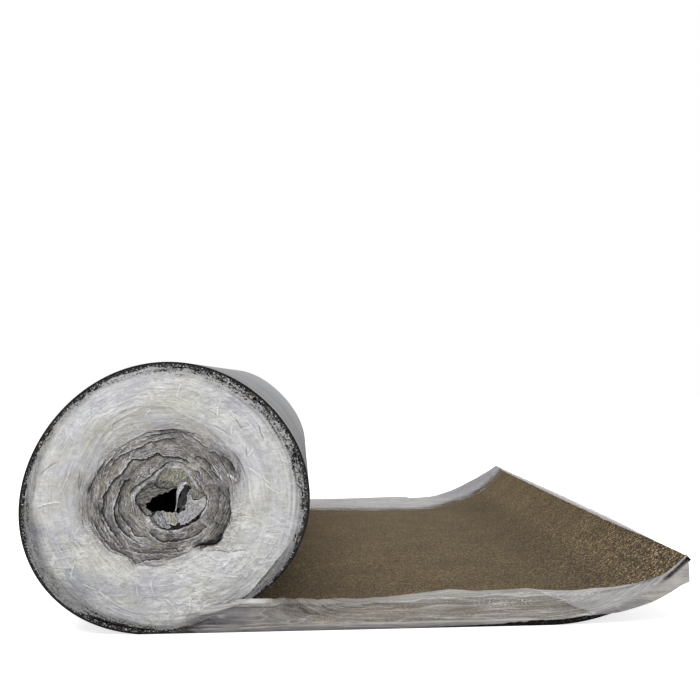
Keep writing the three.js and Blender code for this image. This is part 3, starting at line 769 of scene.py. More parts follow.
# The same for the broad outer film
COLLAR_PATCHES = np.array([
    [94, 88, 26, 12, 0.05, 0, 0], [22, 68.5, 5, 1.8, -0.2, -0.3, 0.4], [46, 86, 16, 9, -0.05, 0, 0.05],
    [331, 66, 17, 7, 0.13, 0.25, 0], [167, 80, 8, 9, 0.08, 0.34, 0], [177, 92, 9, 10, 0.03, 0.3, 0],
    [178, 71, 24, 6, 0.14, 0.1, 0], [44, 84, 20, 9, 0, 0.22, 0], [8, 88, 12, 6, 0, 0.25, 0],
    [222, 101, 11, 6, 0.08, -0.5, 0], [248, 90, 13, 8, 0.03, 0.2, 0], [232, 88, 11, 8, 0, -0.35, 0],
    [136, 88, 13, 8, 0, 0.2, 0], [98, 86, 18, 9, 0, 0.2, 0], [262, 80, 14, 6, 0.05, -0.2, 0],
    [118, 66, 18, 4, 0, 0.3, 0.1], [202, 98, 9, 6, 0.04, -0.3, 0], [303, 92, 12, 9, 0.02, 0.15, 0],
    [352, 68, 9, 6, 0.04, 0.2, 0], [18, 80, 24, 8, 0, 0, 0.24], [62, 98, 15, 10, 0.12, -0.2, 0],
    [182, 98, 14, 8, 0, 0, 0.16], [108, 78, 26, 8, 0.08, 0.2, 0], [186, 79, 12, 8, 0, 0.15, 0.15],
    [338, 79, 14, 8, 0.07, 0, 0], [138, 79, 16, 7, 0, 0.25, 0], [136, 99, 20, 8, 0, -0.4, 0],
    [213, 97, 12, 8, 0, -0.3, 0], [346, 97, 15, 9, 0, -0.2, 0.15], [44, 79, 16, 9, 0, 0, 0.26],
    [182, 84, 14, 12, 0, 0, 0.12], [213, 100, 10, 6, -0.05, 0, 0.1],
])
# Creases across the broad outer film: the [angle, radius] of both ends, and how far the crease stands up
CREASES = np.array([
    [159, 96, 169, 109, -0.8], [180.4, 87, 182.4, 109, 1.3], [162, 83, 173, 86.5, 0.9],
    [172, 73, 163, 74, -0.7], [156, 84, 169, 84, 0.9], [160, 76, 176, 72, -0.7], [182, 69, 192, 71.5, -1.2],
    [191, 71, 198, 72.5, -0.7], [225, 99, 233, 94.5, 1.2], [233, 94.5, 243, 97.2, 1.3],
    [243, 97.2, 258, 98.6, 1], [214, 91, 220, 104, 0.9], [252, 77, 254.5, 85, 1], [260, 70, 263, 80, 0.8],
    [281.5, 98, 284, 86, 1], [310, 86, 313.5, 91.5, 0.9], [328, 83, 320, 72, -0.8],
    [320, 72, 310, 58, -0.9], [8, 87, 2, 99, 0.9], [11, 86, 22, 74, 0.7], [27, 80, 29, 87, 0.8],
    [39, 96, 42, 88, 0.8], [41, 79, 58, 75, -0.6], [14, 72, 33, 71, -0.8], [81, 101, 82.5, 87, 0.7],
    [98, 77.5, 103, 73, 0.8], [120, 82, 127, 75, 0.7], [60, 97, 56, 82, 0.7], [128, 100, 131, 93, -0.5],
    [143, 99, 146, 92, 0.5], [202, 83, 212, 77, -0.5], [48, 92, 39.6, 90, -0.8], [38, 103, 30, 99, -0.8],
    [13.6, 86, 7.7, 91, 0.9], [11, 74, -9, 79, 0.8], [18, 105.6, 16, 109, 0.8], [54, 94.6, 46, 95.5, 0.7],
    [33, 84, 26, 79, -0.6], [47, 86, 43, 79, 0.6], [241, 92, 248, 86, 0.8], [270, 84, 275, 91, 0.8],
    [296, 80, 302, 77, 0.6], [288, 106, 303, 112, 0.6],
])


def grid(grids, side):
    quick, front, back = grids
    return front if side == FRONT else back


def ring_grid(grids, side):
    """The angles round one end as a column, and the shares of the way across a ring as a row."""
    around, across = grid(grids, side)
    return np.linspace(0, TURN, around + 1)[:, None], np.linspace(0, 1, across)[None, :]


def film_piece(kind, side, material, points, uv, **how):
    """A piece of film made of one grid, which with its neighbours stands for that end's film."""
    film = Patchwork(NUMBERS)
    film.add(points, uv, **how)
    return finish_piece(film.make(f"film_{kind}_{NAMES[side]}", [material]), "film", f"film_{NAMES[side]}")


def in_tables(side, angle):
    """The tables' angle, in degrees, for an angle about the axis."""
    return (np.degrees(angle) + (0 if side == FRONT else 180)) % 360


def round_end(side, angle, table, column=1):
    """A column of a table of [angle, ...] rows, read smoothly at any angle."""
    degrees = np.concatenate([table[:, 0] - 360, table[:, 0], table[:, 0] + 360])
    return np.interp(in_tables(side, angle), degrees, np.tile(table[:, column], 3))


def rim_radius(side, angle, seed):
    """Where the film ends at the bare outermost turns."""
    turned = (START_ANGLE - angle) % TURN
    wound_in = (outer_radius(angle) - bore_radius(angle)) * turned / (TURN * TURNS)
    # Where the sheet leaves for the tail, the outermost turn is the next one in, and the step is eased out.
    outermost = outer_radius(angle) - wound_in * between(1.0, 0.88, turned / TURN)
    turn = angle / TURN
    ragged = 0.9 * round_drift(turn, 23, 0, seed) + 0.5 * round_drift(turn, 71, 0, seed)
    return outermost / MM - round_end(side, angle, RIM) - ragged


def pillow(inside_rim):
    """How far the outer film stands out, by how far inside its rim it is."""
    return 1 + COLLAR_RISE * (1 - np.exp(-np.maximum(0, inside_rim) / COLLAR_SOFTNESS))


def over_end(angle, radius, out, side):
    """A point over one end of the roll, by its angle and radius about the axis and how far it stands out."""
    points = roll_point(angle, radius * MM, side * HALF_WIDTH)
    points[..., 1] = side * (HALF_WIDTH + out * MM)
    return points


def polar(radius, angle):
    return radius * np.array([math.cos(angle), math.sin(angle)])


def along_stroke(x, level, start, end, width):
    """1 on a slightly bowed stroke between two points, falling to 0 at its ends and to its sides."""
    heading = end - start
    length = np.hypot(*heading)
    heading = heading / length
    on = (x - start[0]) * heading[0] + (level - start[1]) * heading[1]
    off = (x - start[0]) * heading[1] - (level - start[1]) * heading[0]
    off = off - 0.05 * length * np.sin(math.pi * on / length)
    taper = window(-0.1 * length, 0.25 * length, 0.7 * length, 1.1 * length, on)
    return taper * np.exp(-(off / width) ** 2)


def creases_across(side, angle, radius, seed, loose):
    """The height of the table's creases, and of as many loose short ones as asked for on the lower half."""
    turned = np.radians(in_tables(side, angle))
    x, level = radius * np.cos(turned), radius * np.sin(turned)
    total = np.zeros(x.shape)
    for start_angle, start, end_angle, end, rise in CREASES:
        ends = polar(start, math.radians(start_angle)), polar(end, math.radians(end_angle))
        total += rise * along_stroke(x, level, *ends, 0.6)
    for k in range(loose):
        middle = polar(68 + 36 * hashed(k, 4, seed), math.radians(212 + 150 * hashed(k, 1, seed)))
        slope = 38 + 36 * (hashed(k, 5, seed) - 0.5) + 90 * (hashed(k, 8, seed) > 0.85)
        reach = 1.2 + 4.5 * hashed(k, 6, seed) ** 2
        arm = polar(reach, math.radians(slope))
        near = np.hypot(x - middle[0], level - middle[1]) < reach + 3
        rise = 0.9 * hashed(k, 7, seed) - 0.35
        total[near] += rise * along_stroke(x[near], level[near], middle - arm, middle + arm, 0.4)
    return total


def leaf_edges(side, angle, radius, seed):
    """How far the leaves have stepped down, and the painted shade under and painted light on their edges."""
    fall = gloom = gleam = 0.0
    specks = round_drift(angle / TURN, 150, radius / 1.7, seed + 4)
    for k, (step, shade, edge) in enumerate(LEAVES):
        degrees, radii = np.array(edge).T
        past = (in_tables(side, angle) - degrees[0]) % 360
        spread = degrees[-1] - degrees[0]
        ends = window(0, 5, spread - 5, spread, past)
        edge_radius = np.interp(past + degrees[0], degrees, radii)
        edge_radius = edge_radius + 0.5 * drift(past / 5, k, seed) + 0.3 * drift(past / 1.9, k, seed + 1)
        into = edge_radius - radius
        deep = np.maximum(0, into)
        under = between(-0.2, 0.25, into)
        open_here = 0.7 + 0.6 * drift(past / 6, k, seed + 2) + 0.4 * drift(past / 2.3, k, seed + 3)
        reach = (0.45 + 0.5 * step * np.clip(open_here, 0.1, 1.3)) * (1 + 0.35 * specks)
        fall = fall + ends * step * under * np.exp(-deep / 8)
        dim = np.minimum(1, np.exp(-deep / reach) + 0.16 * step * np.exp(-deep / 3.2))
        gloom = np.maximum(gloom, ends * shade * np.clip(open_here + 0.3, 0.35, 1) * under * dim)
        lip = ends * (1 - under) * np.exp(-np.maximum(0, -into) / 0.9)
        gleam = np.maximum(gleam, lip * np.clip(0.75 + 0.9 * drift(past / 4, k, seed + 5), 0, 1))
    return fall, gloom, gleam


def in_patches(side, angle, radius, patches, seed):
    """How much darker, greener and lighter the patches make each point."""
    grain = round_drift(angle / TURN, 120, radius / 2, seed)
    ragged = 0.2 * round_drift(angle / TURN, 40, radius / 6, seed + 1)
    dark = green = light = 0.0
    for where, out_at, half_angle, half_reach, shade, tint, glow in patches:
        aside = (in_tables(side, angle) - where + 180) % 360 - 180
        spot = between(1.2, 0.7, np.hypot(aside / half_angle, (radius - out_at) / half_reach) + ragged)
        dark = dark + shade * spot * (0.75 + 0.25 * np.sign(shade) * grain)
        green, light = green + tint * spot, light + glow * spot
    return dark, green, light


def worn_rim(side, angle, radius, inwards, crescent, meander, seed):
    """How far across the thin film along the rim each point lies, and how torn and how clear it is there."""
    turn = angle / TURN
    streaks = round_drift(turn, 16, (radius + 0.3 * meander) / 1.5, seed + 14)
    mottle = round_drift(turn, 70, (radius + 0.5 * meander) / 4, seed + 18)
    uneven = 1 + 0.25 * (1 - crescent) * round_drift(turn, 23, 0, seed + 3)
    across = inwards / (round_end(side, angle, RIM, 2) * uneven)
    torn = round_end(side, angle, RIM, 3) / 100 * between(1.2, 0.5, across)
    torn = torn * (1 + 0.35 * streaks + 0.22 * mottle) + 0.3 * between(1.5, 0, inwards)
    to_white = crescent * between(1.04, 0.97, across) + (1 - crescent) * 1.05 * between(1.55, 0.65, across)
    clear = round_end(side, angle, RIM, 4) / 100 * to_white
    clear = clear * (1 + 0.2 * streaks + 0.1 * (1 - crescent) * mottle)
    clear = clear * (1 + 0.2 * crescent * between(0.5, 1.0, across))
    return across, np.clip(torn, 0, 0.95), np.clip(clear, 0, 0.9)


def collar(side, seed):
    """The broad outer ring of film: flat and clear against the edges at its rim, then puffed up and milky."""
    angle, share = ring_grid(COLLAR_GRIDS, side)
    turn = angle / TURN
    rim = rim_radius(side, angle, seed)
    inner = round_end(side, angle, COLLAR_EDGE) + 0.9 * round_drift(turn, 30, 0, seed + 2)
    radius = rim + (inner - rim) * share
    inwards = rim - radius
    degrees = in_tables(side, angle)

    def towards(heading, low, high):
        """1 on the side of the end that lies that way from the axis, 0 on the other side."""
        return between(low, high, np.cos(np.radians(degrees - heading)))

    # Its shape
    puff = between(0, 14, inwards)
    crescent = window(*CRESCENT, degrees)
    meander = 3 * round_drift(turn, 9, radius / 22, seed + 12)
    lumps = round_drift(turn, 9, radius / 30, seed + 10)
    swell = round_drift(turn, 26, radius / 15, seed + 11)
    rings = round_drift(turn, 8, (radius + meander) / 3.4, seed + 13) * between(0.1, 0.9, share)
    folded = creased(turn * 9, (radius + meander) / 11, seed + 15, 9)
    pleats = 0.65 * (1 - crescent) * round_drift(turn, 14, (radius + 0.4 * meander) / 2, seed + 16)
    pleats = pleats * window(0, 4, 6, 20, inwards) * towards(-15, -1.2, 0.9)
    crisp = creases_across(side, angle, radius, seed, 150)
    out = pillow(inwards) - 3.2 * between(0.6, 1.0, share)
    out = out + puff * (1.5 * lumps + 0.5 * swell + 0.35 * rings + 0.8 * folded)
    out = np.maximum(out + 0.5 * pleats + 0.7 * (0.2 + 0.8 * puff) * crisp, FILM_CLEARANCE)
    lift = relief(out, closed=True)

    # Its tone, and the painted light and shade of its creases, bulges and pleats
    across_thin, torn, clear = worn_rim(side, angle, radius, inwards, crescent, meander, seed)
    crumpled = towards(42, 0.75, 0.95) * between(70, 78, radius)
    clean = towards(285, -0.3, 0.7)
    layers = round_drift(turn, 11, (radius + meander) / 2.6, seed + 17)
    layers = layers * between(0.45, 0.85, share) * (1 - 0.7 * clean)
    tone = 0.75 * between(0.7 + 0.14 * clean - 0.1 * towards(345, 0.6, 1.0), 1.14, share)
    tone = tone + 0.12 * round_drift(turn, 7, share * 2, seed + 5) + 0.25 * layers
    low = between(30, -30, radius * np.sin(np.radians(degrees)))
    shade, green, glow = in_patches(side, angle, radius, COLLAR_PATCHES, seed + 19)
    # Painted highlights on crease crests, bulges and pleats, and along the clear crescent's inner edge
    light = 0.36 * np.clip(crisp / 0.9, 0, 1) + puff * (1 + 0.4 * crumpled) * np.clip(lift / 0.6, 0, 0.5)
    light = light + np.clip(0.7 * pleats, 0, 0.35) + glow
    light = light + 0.4 * crescent * np.exp(-((across_thin - 1.06) / 0.05) ** 2)
    # Painted shade on the creases' other sides, in hollows and pleats, and between the film's layers
    dark = 0.35 * np.clip(-crisp / 0.9, 0, 1) + puff * (1 + 0.5 * crumpled) * np.clip(-lift / 1.5, 0, 0.2)
    dark = dark + np.clip(-0.5 * pleats, 0, 0.25) + 0.22 * np.clip(-layers, 0, 1) + shade
    # Painted shade towards the lower left and on the lower side
    dark = dark + (0.07 * towards(232, 0.3, 1.0) + 0.03 * low) * between(60, 10, inwards)
    return film_piece("collar", side, CRUMPLED, over_end(angle, radius, out, side), (turn * 6, share),
                      flip=side < 0, tone=np.clip(tone, 0, 1), light=light, dark=dark, green=green, torn=torn,
                      clear=clear, strokes=np.clip(0.35 + 0.65 * low + 0.5 * crumpled, 0, 1))


def whorl(side, seed):
    """The film of the inner turns: thin leaves, one over the next, that step down towards the pocket."""
    angle, share = ring_grid(WHORL_GRIDS, side)
    turn = angle / TURN
    outer = round_end(side, angle, COLLAR_EDGE) + 3
    inner = round_end(side, angle, POCKET_RIM) + 0.5 * round_drift(turn, 34, 0, seed)
    radius = outer + (inner - outer) * share

    # Its shape: the leaves of the table, and thin plies that wind inwards among them
    fall, gloom, gleam = leaf_edges(side, angle, radius, seed + 1)
    bend = 3.4 * round_drift(turn, 7, radius / 16, seed + 2)
    bend = bend + 1.2 * round_drift(turn, 19, radius / 7, seed + 3)
    plies = (radius + bend) / 3.4 - turn + 1.6 * round_drift(turn, 5, radius / 8, seed + 10)
    past_edge = plies - np.floor(plies)
    shown = between(-0.15, 0.5, round_drift(turn, 15, radius / 6, seed + 4))
    lumps = round_drift(turn, 10, radius / 14, seed + 5)
    crumple = creased(turn * 20, (radius + 0.5 * bend) / 6, seed + 6, 20)
    out = 6.2 - 1.6 * share - fall + 0.8 * (1 - past_edge) * shown + 0.7 * lumps + 0.9 * crumple
    out = np.maximum(out, FILM_CLEARANCE + 1.5) - 1.2 * between(0.93, 1.0, share) ** 2
    lift = relief(out, closed=True)

    # Its tone, painted shade under the edges and in hollows, and painted light on the edges, ridges and
    # pocket rim
    under_ply, on_ply = between(0.7, 1.0, past_edge) * shown, between(0.2, 0.0, past_edge) * shown
    specks = between(0.45, 0.9, round_drift(turn, 170, (radius + bend) / 1.3, seed + 11))
    shade, green, glow = in_patches(side, angle, radius, PATCHES, seed + 8)
    dark = np.maximum(0.88 * gloom, 0.6 * under_ply) + 0.22 * between(-0.2, 0.5, lumps)
    dark = dark + np.clip(-lift / 0.9, 0, 0.4) + 0.4 * specks + shade
    on_rim = window(0.9, 0.95, 0.97, 1.02, share) * between(-0.5, 0.4, round_drift(turn, 16, share, seed + 9))
    light = np.maximum(0.7 * gleam, 0.35 * on_ply) + np.clip(lift / 0.8, 0, 0.4) + 0.9 * on_rim
    light = light * (1 - 0.7 * between(0.2, 0.5, shade)) + glow
    tone = 0.95 + 0.25 * round_drift(turn, 8, radius / 10, seed + 7)
    tone = tone - 0.4 * between(0.17, 0.0, share) - 0.2 * between(0.88, 0.97, share)
    return film_piece("whorl", side, CRUMPLED, over_end(angle, radius, out, side), (turn, share),
                      flip=side < 0, tone=np.clip(tone, 0, 1), light=np.clip(light - dark, 0, 1),
                      dark=np.clip(dark, 0, 0.97), green=np.clip(green, -1, 1))


# The folded film inside the pocket, nearest last: how far its middle stands out, its slopes to the right and
# up, its tone, dark, green and light, the slope of its wrinkles in degrees, and its outline from the axis
FACETS = [
    (-1, 0.05, 0.12, 0.9, 0.4, 0.25, 0, 18, [
        (-27, -2), (-21, 7), (-6, 12), (6, 14), (10, 9.5), (3, 6.2), (-5.5, 3.8), (-17, -4.4), (-22, -9)]),
    (-1.5, 0.05, 0.16, 0.6, 0.24, 0.75, 0.03, 60, [
        (-8, 13), (-3, 24), (6, 28), (18, 26), (21, 18), (24, 10), (17, 12.8), (9, 9.8), (0, 11), (-6, 10)]),
    (-2.2, 0.1, 0.1, 0.9, 0.48, 0.3, 0, 30, [
        (-10, 13), (-6, 9), (2, 8.4), (8, 10.5), (6, 14), (-2, 16)]),
    (-1, 0.05, 0, 0.9, 0.25, 0.4, 0, 100, [
        (20, 20), (30, 18), (37, 8), (37, 0), (29, -0.5), (23, -0.6), (19, 5), (22.6, 9), (18, 14)]),
    # Deep in the bore beside the strand, painted dark for the shade there
    (-9, 0, 0, 0.8, 0.88, 0, 0, 70, [
        (15, 12.4), (17.3, 13.2), (23, 9), (19.2, 6.1), (18.8, -1.5), (17.3, -5.3), (9.5, -11.5), (8, -10)]),
    # A base beneath the others, painted dark for the shade under them
    (-3.5, 0, 0, 0.6, 0.96, 0, 0, 20, [
        (-22, -6), (-12, -15), (-2, -26), (8, -27), (22, -25), (34, -14), (37, 2), (26, -4), (14, -9),
        (0, -8), (-10, -8)]),
    (-0.8, 0.05, -0.15, 0.9, 0.42, 0.4, 0, 130, [
        (-22, -5), (-15.5, -8), (-12, -11), (-12, -15), (-18, -12)]),
    (-0.5, 0.14, -0.1, 0.3, 0.36, -0.6, 0, 118, [
        (-12.4, -15.6), (-7.4, -11), (-4.6, -10.1), (-2, -14), (2, -20), (6.2, -23.4), (2, -26),
        (-4, -23.6)]),
    (0.4, -0.1, -0.2, 0.1, 0.2, 0.7, 0.02, 95, [
        (-5, -10), (3, -9.4), (7.5, -11), (12, -14.4), (14, -19), (8, -22.6), (2, -21), (-2, -14)]),
    (1, 0.08, -0.12, 0.32, 0.18, 0, 0, 52, [
        (8.4, -14.4), (13, -11.6), (17.3, -9.1), (18.3, -2.5), (19, 3.4), (22, 3), (23, -1.4),
        (28.8, -1.6), (33.6, 2.8), (35.6, -2), (32.6, -9.4), (26, -16), (19, -20.4), (12.6, -22.4),
        (11.4, -18)]),
]
# The facet in that list that hangs across the hole
HANGING = 4
# The part of the pocket that the film leaves open
HOLE = [
    (-17, -4.4), (-11, 0.6), (-5.5, 3.8), (3, 6.2), (9, 9.6), (15, 12.4), (17.3, 13.2), (23, 9),
    (19.2, 6.1), (18.8, -1.5), (17.3, -5.3), (9.5, -11.3), (-5, -10), (-11, -11), (-15, -8),
]


def inside(x, level, outline):
    """Where points lie inside a closed outline."""
    within = np.zeros(x.shape, bool)
    for (x0, z0), (x1, z1) in zip(outline, outline[1:] + outline[:1]):
        crosses = (z0 > level) != (z1 > level)
        if z0 != z1:
            within ^= crosses & (x < (x1 - x0) * (level - z0) / (z1 - z0) + x0)
    return within


def over_pocket(x, level, out, side):
    """A point of the pocket from its place in the tables and how far it stands out."""
    return over_end(np.arctan2(-side * level, -side * x), np.hypot(x, level), out, side)


def pocket(side, seed):
    """The folded film inside the pocket's rim, open over part of the bore."""
    step = 0.8 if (side == BACK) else 0.36
    x, level = np.meshgrid(np.arange(-38, 40, step), np.arange(-33, 33, step), indexing="ij")

    rough = [values + 0.7 * drift(x / 4, level / 4, own) + 0.4 * drift(x / 1.6, level / 1.6, own + 1)
             for values, own in ((x, seed), (level, seed + 2))]
    angle, far = np.arctan2(level, x), np.hypot(x, level)
    rim = round_end(FRONT, angle, POCKET_RIM)
    out = -1.5 + 0.1 * (far - rim)
    tone, dark, green, light, edge, hanging = 0.9, 0.5, 0.3, 0.0, 0.0, False
    for k, (base, right, up, own_tone, own_dark, own_green, own_light, slope, outline) in enumerate(FACETS):
        within = inside(*rough, outline)
        middle = np.mean(outline, axis=0)
        heading = math.radians(slope)
        along = x * math.cos(heading) + level * math.sin(heading)
        aside = level * math.cos(heading) - x * math.sin(heading)
        wrinkles = drift(along / 5.5, aside / 1.5, seed + 20 + k)
        wrinkles = wrinkles + 0.6 * drift(along / 2.2, aside / 0.9, seed + 40 + k)
        plane = base + right * (x - middle[0]) + up * (level - middle[1])
        # Painted shade in the wrinkles' furrows and painted light on their crests
        furrows = 0.16 * np.clip(-wrinkles, 0, 1.2) * (own_dark < 0.8)
        crests = 0.35 * np.clip(wrinkles, 0, 1.2) * (own_dark < 0.6)
        out = np.where(within, plane + 0.35 * wrinkles, out)
        tone = np.where(within, own_tone, tone)
        dark = np.where(within, own_dark + furrows, dark)
        green = np.where(within, own_green, green)
        light = np.where(within, own_light + crests, light)
        edge = np.where(within, between(0.95, 0.5, smoothed(within.astype(float), 2)), edge)
        hanging = np.where(within, k == HANGING, hanging)
    deep = out < -3
    out = out - np.where(deep, 0.1, 0.8) * dented(x / 4.5, level / 4.5, seed + 5)
    lift = relief(out)
    # Painted light on raised parts and the facets' edges, painted shade in hollows and under the pocket's rim
    light = light + np.where(deep, 0, 0.5) * np.clip(lift / 0.4, 0, 1) + np.where(dark < 0.3, 0.4 * edge, 0)
    dark = dark + np.clip(-lift / 0.45, 0, 0.7) * (dark < 0.8)
    under_rim = between(2.4, 0.4, rim - far) * between(-0.3, 0.5, drift(np.degrees(angle) / 14, 0, seed + 6))
    dark = dark + 0.55 * under_rim * window(70, 110, 200, 240, in_tables(FRONT, angle))
    kept = (far < rim + 2.5) & (hanging | ~inside(*rough, HOLE))
    return film_piece("pocket", side, CRUMPLED, over_pocket(x, level, 3.2 + out, side), (x / 30, level / 30),
                      flip=side > 0, kept=kept, tone=tone, light=np.clip(light - dark, 0, 1),
                      dark=np.clip(dark, 0, 0.97), green=green)


# [right, up, out, half the width] down the strip of film that hangs across the hole
STRAND = np.array([
    [15.2, 14.5, 2.5, 3.2], [13.4, 10, 1.5, 2.6], [11.2, 5.5, 0.8, 1.5], [10.2, 1, 0.5, 0.8],
    [9.8, -5, 0.5, 0.45], [8.6, -10.5, 1, 0.55],
])


def strand(side, seed):
    """The strip of film that hangs across the hole."""
    along = np.linspace(0, len(STRAND) - 1, 60)[:, None]
    over = np.linspace(-1, 1, 9)[None, :]
    x, level, out, half = (np.interp(along, np.arange(len(STRAND)), column) for column in STRAND.T)
    ragged = 1 + 0.4 * drift(along * 2.1, np.sign(over), seed)
    raised = out + 0.8 * drift(along * 1.6, over * 1.2, seed + 1) - 0.8 * over ** 2
    points = over_pocket(x + over * half * ragged, level, 2.5 + raised, side)
    # Painted light on one side of the strip and painted shade on the other
    return film_piece("strand", side, CRUMPLED, points, (along, over), flip=side > 0, tone=0.2,
                      light=0.5 * between(-0.6, 1, over), dark=0.3 * between(0.2, -1, over), green=-0.5)


# ---------------------------------------------------------------- the film along the tail's edges

# The film folded over each edge: [length along the tail, width of the leg over the sheet, its tilt in
# degrees, how far it hangs (below 0, how far its foot is above the ground), its puff, how clear it is in
# percent, how far its fold stands above the sheet's edge]
FRONT_STRIP = np.array([
    [4, 9, 90, 0, 0.5, 58, 0], [30, 20, 90, 0, 0.5, 54, 0], [58, 24, 90, 0, 1, 52, 0],
    [76, 23, 88, 0, 1, 60, 0], [92, 24, 62, 0, 1, 68, 0], [110, 30, 35, 0, 1.5, 74, 0],
    [120, 40, 22, 0, 1.5, 75, 0], [130, 55, 11, 0, 1.5, 76, 0], [140, 78, 4.5, 0, 1.5, 76, 0],
    [151, 100, 1.5, 0, 1.5, 76, 0], [172, 108, 0, 0, 1.5, 76, 0], [200, 118, 0, 0, 1, 76, 0],
    [230, 130, 0, -1, 1.5, 74, 0], [263, 149, 0, -1.6, 1.5, 72, 0], [288, 136, 0, -2.2, 1.5, 72, 0],
    [318, 140, 0, -4.5, 1.5, 74, 0], [340, 143, 0, -5, 2, 72, 0], [360, 120, 0, -5, 2, 72, 0],
    [378, 96, 0, -2.4, 1.5, 60, 0], [392, 84, 0, 1.5, 2, 46, 0], [413, 48, 0, 5, 1.5, 36, 0],
    [427, 28, 0, 8, 1, 30, 0], [445, 6, 0, 11, 0.5, 28, 0], [462, 3, 0, 14, 0.5, 26, 0],
    [472, 2, 0, 18, 0.5, 20, 0],
])
BACK_STRIP = np.array([
    [4, 9, 90, 0, 0.5, 40, 0], [30, 20, 90, 0, 0.5, 30, 0], [58, 24, 90, 0, 1, 30, 0],
    [76, 23, 88, 0, 1, 25, 0], [88, 40, 50, 0, 1, 20, 0], [97, 80, 24, 0, 2, 15, 0.2],
    [106, 132, 6, 0, 2, 15, 0.4], [116, 160, 0, 0, 2, 10, 1], [151, 166, 0, 0, 2, 10, 1],
    [190, 174, 0, 0, 2, 10, 1.2], [230, 182, 0, 0, 1.5, 10, 2], [262, 184, 0, 0, 2, 10, 2.4],
    [290, 190, 0, 0, 2, 10, 2.4], [302, 184, 0, 0, 2, 10, 0.4], [320, 170, 0, 0, 2, 10, 0.4],
    [345, 138, 0, 0, 4, 15, 2], [361, 122, 0, 0, 4, 15, 4.2], [385, 118, 0, 0, 4, 15, 6.2],
    [400, 114, 0, 0, 4, 15, 7.2], [413, 109, 0, 0, 4, 20, 7.6], [427, 103, 0, 0, 4, 20, 6.8],
    [442, 95, 0, 0, 4, 20, 5.4], [459, 86, 0, 0, 2, 25, 3], [474, 76, 0, 0, 1, 25, 0.5],
])
# [length along the tail, share of the way across the leg] from where the roll's pale film runs on over it
PALE_FROM = np.array([
    [4, 0.6], [30, 0.56], [39, 0.62], [49, 0.7], [58, 0.78], [70, 0.84], [130, 0.86],
])
# [length along the tail, share of the way across the leg] of the furrow where the strip leaves the roll
SEAM = np.array([[65, 0.18], [110, 0.5]])
# The wall's share of the way across the strip, how far along it lies on the roll's end, and the length that
# its noise is measured in
WALL_SHARE = 0.16
ON_ROLL = 62
STRIP_UNIT = 60


def paled_by_roll(at, on_leg, calm, streams, seed, light, dark, clear):
    """The near strip's tones beside the roll, whose pale film runs on over it above a dark wedge."""
    u = at / STRIP_UNIT
    pale_from = np.interp(at, *PALE_FROM.T) + 0.05 * drift(u * 2, 0, seed + 16)
    pale = between(pale_from - 0.06, pale_from + 0.06, on_leg) * between(104, 64, at)
    wedge = window(0.1, 0.2, pale_from - 0.14, pale_from + 0.02, on_leg) * window(14, 34, 56, 96, at)
    core = window(0.05, 0.14, 0.26, 0.5, on_leg) * window(8, 26, 44, 72, at)
    light = light * (1 - wedge) * between(0.1, 0.9, calm + pale) * (1 - 0.5 * pale)
    light = light + pale * (0.7 + 0.25 * streams)
    dark = dark * (1 - 0.9 * pale) + wedge * (0.6 + 0.25 * drift(u * 1.5, on_leg * 5, seed + 17)) + core
    return light, dark, clear * (1 - 0.95 * pale) * (1 - 0.15 * wedge) + 0.4 * core


def backed_past_crease(at, on_leg, over, wall, seed, light, dark, clear):
    """The near strip's tones where a second ply lies behind it, past a crease, and its pale specks."""
    past_crease = at - (372 - 26 * on_leg + 2 * drift(on_leg * 5, 0, seed + 14))
    backed = between(-0.5, 2.5, past_crease)
    specks = between(0.2, 0.5, drift(at / 2.4, over / 3.6, seed + 18)) * ~wall
    # A row of painted glints, and pale imprints strewn past the crease
    row = 0.9 * np.exp(-((on_leg - 0.52 - 0.06 * drift(at / STRIP_UNIT * 3, 0, seed + 19)) / 0.14) ** 2)
    row = row * window(262, 284, 320, 340, at)
    strewn = backed * window(0.3, 0.5, 0.78, 0.92, on_leg) * between(412, 385, at)
    light = light * (1 - 0.6 * backed) + specks * (row + 0.4 * strewn)
    # A painted highlight along the crease
    light = light + 0.5 * np.exp(-(past_crease / 1.1) ** 2)
    return light, dark + 0.45 * backed, clear * (1 - 0.45 * backed)


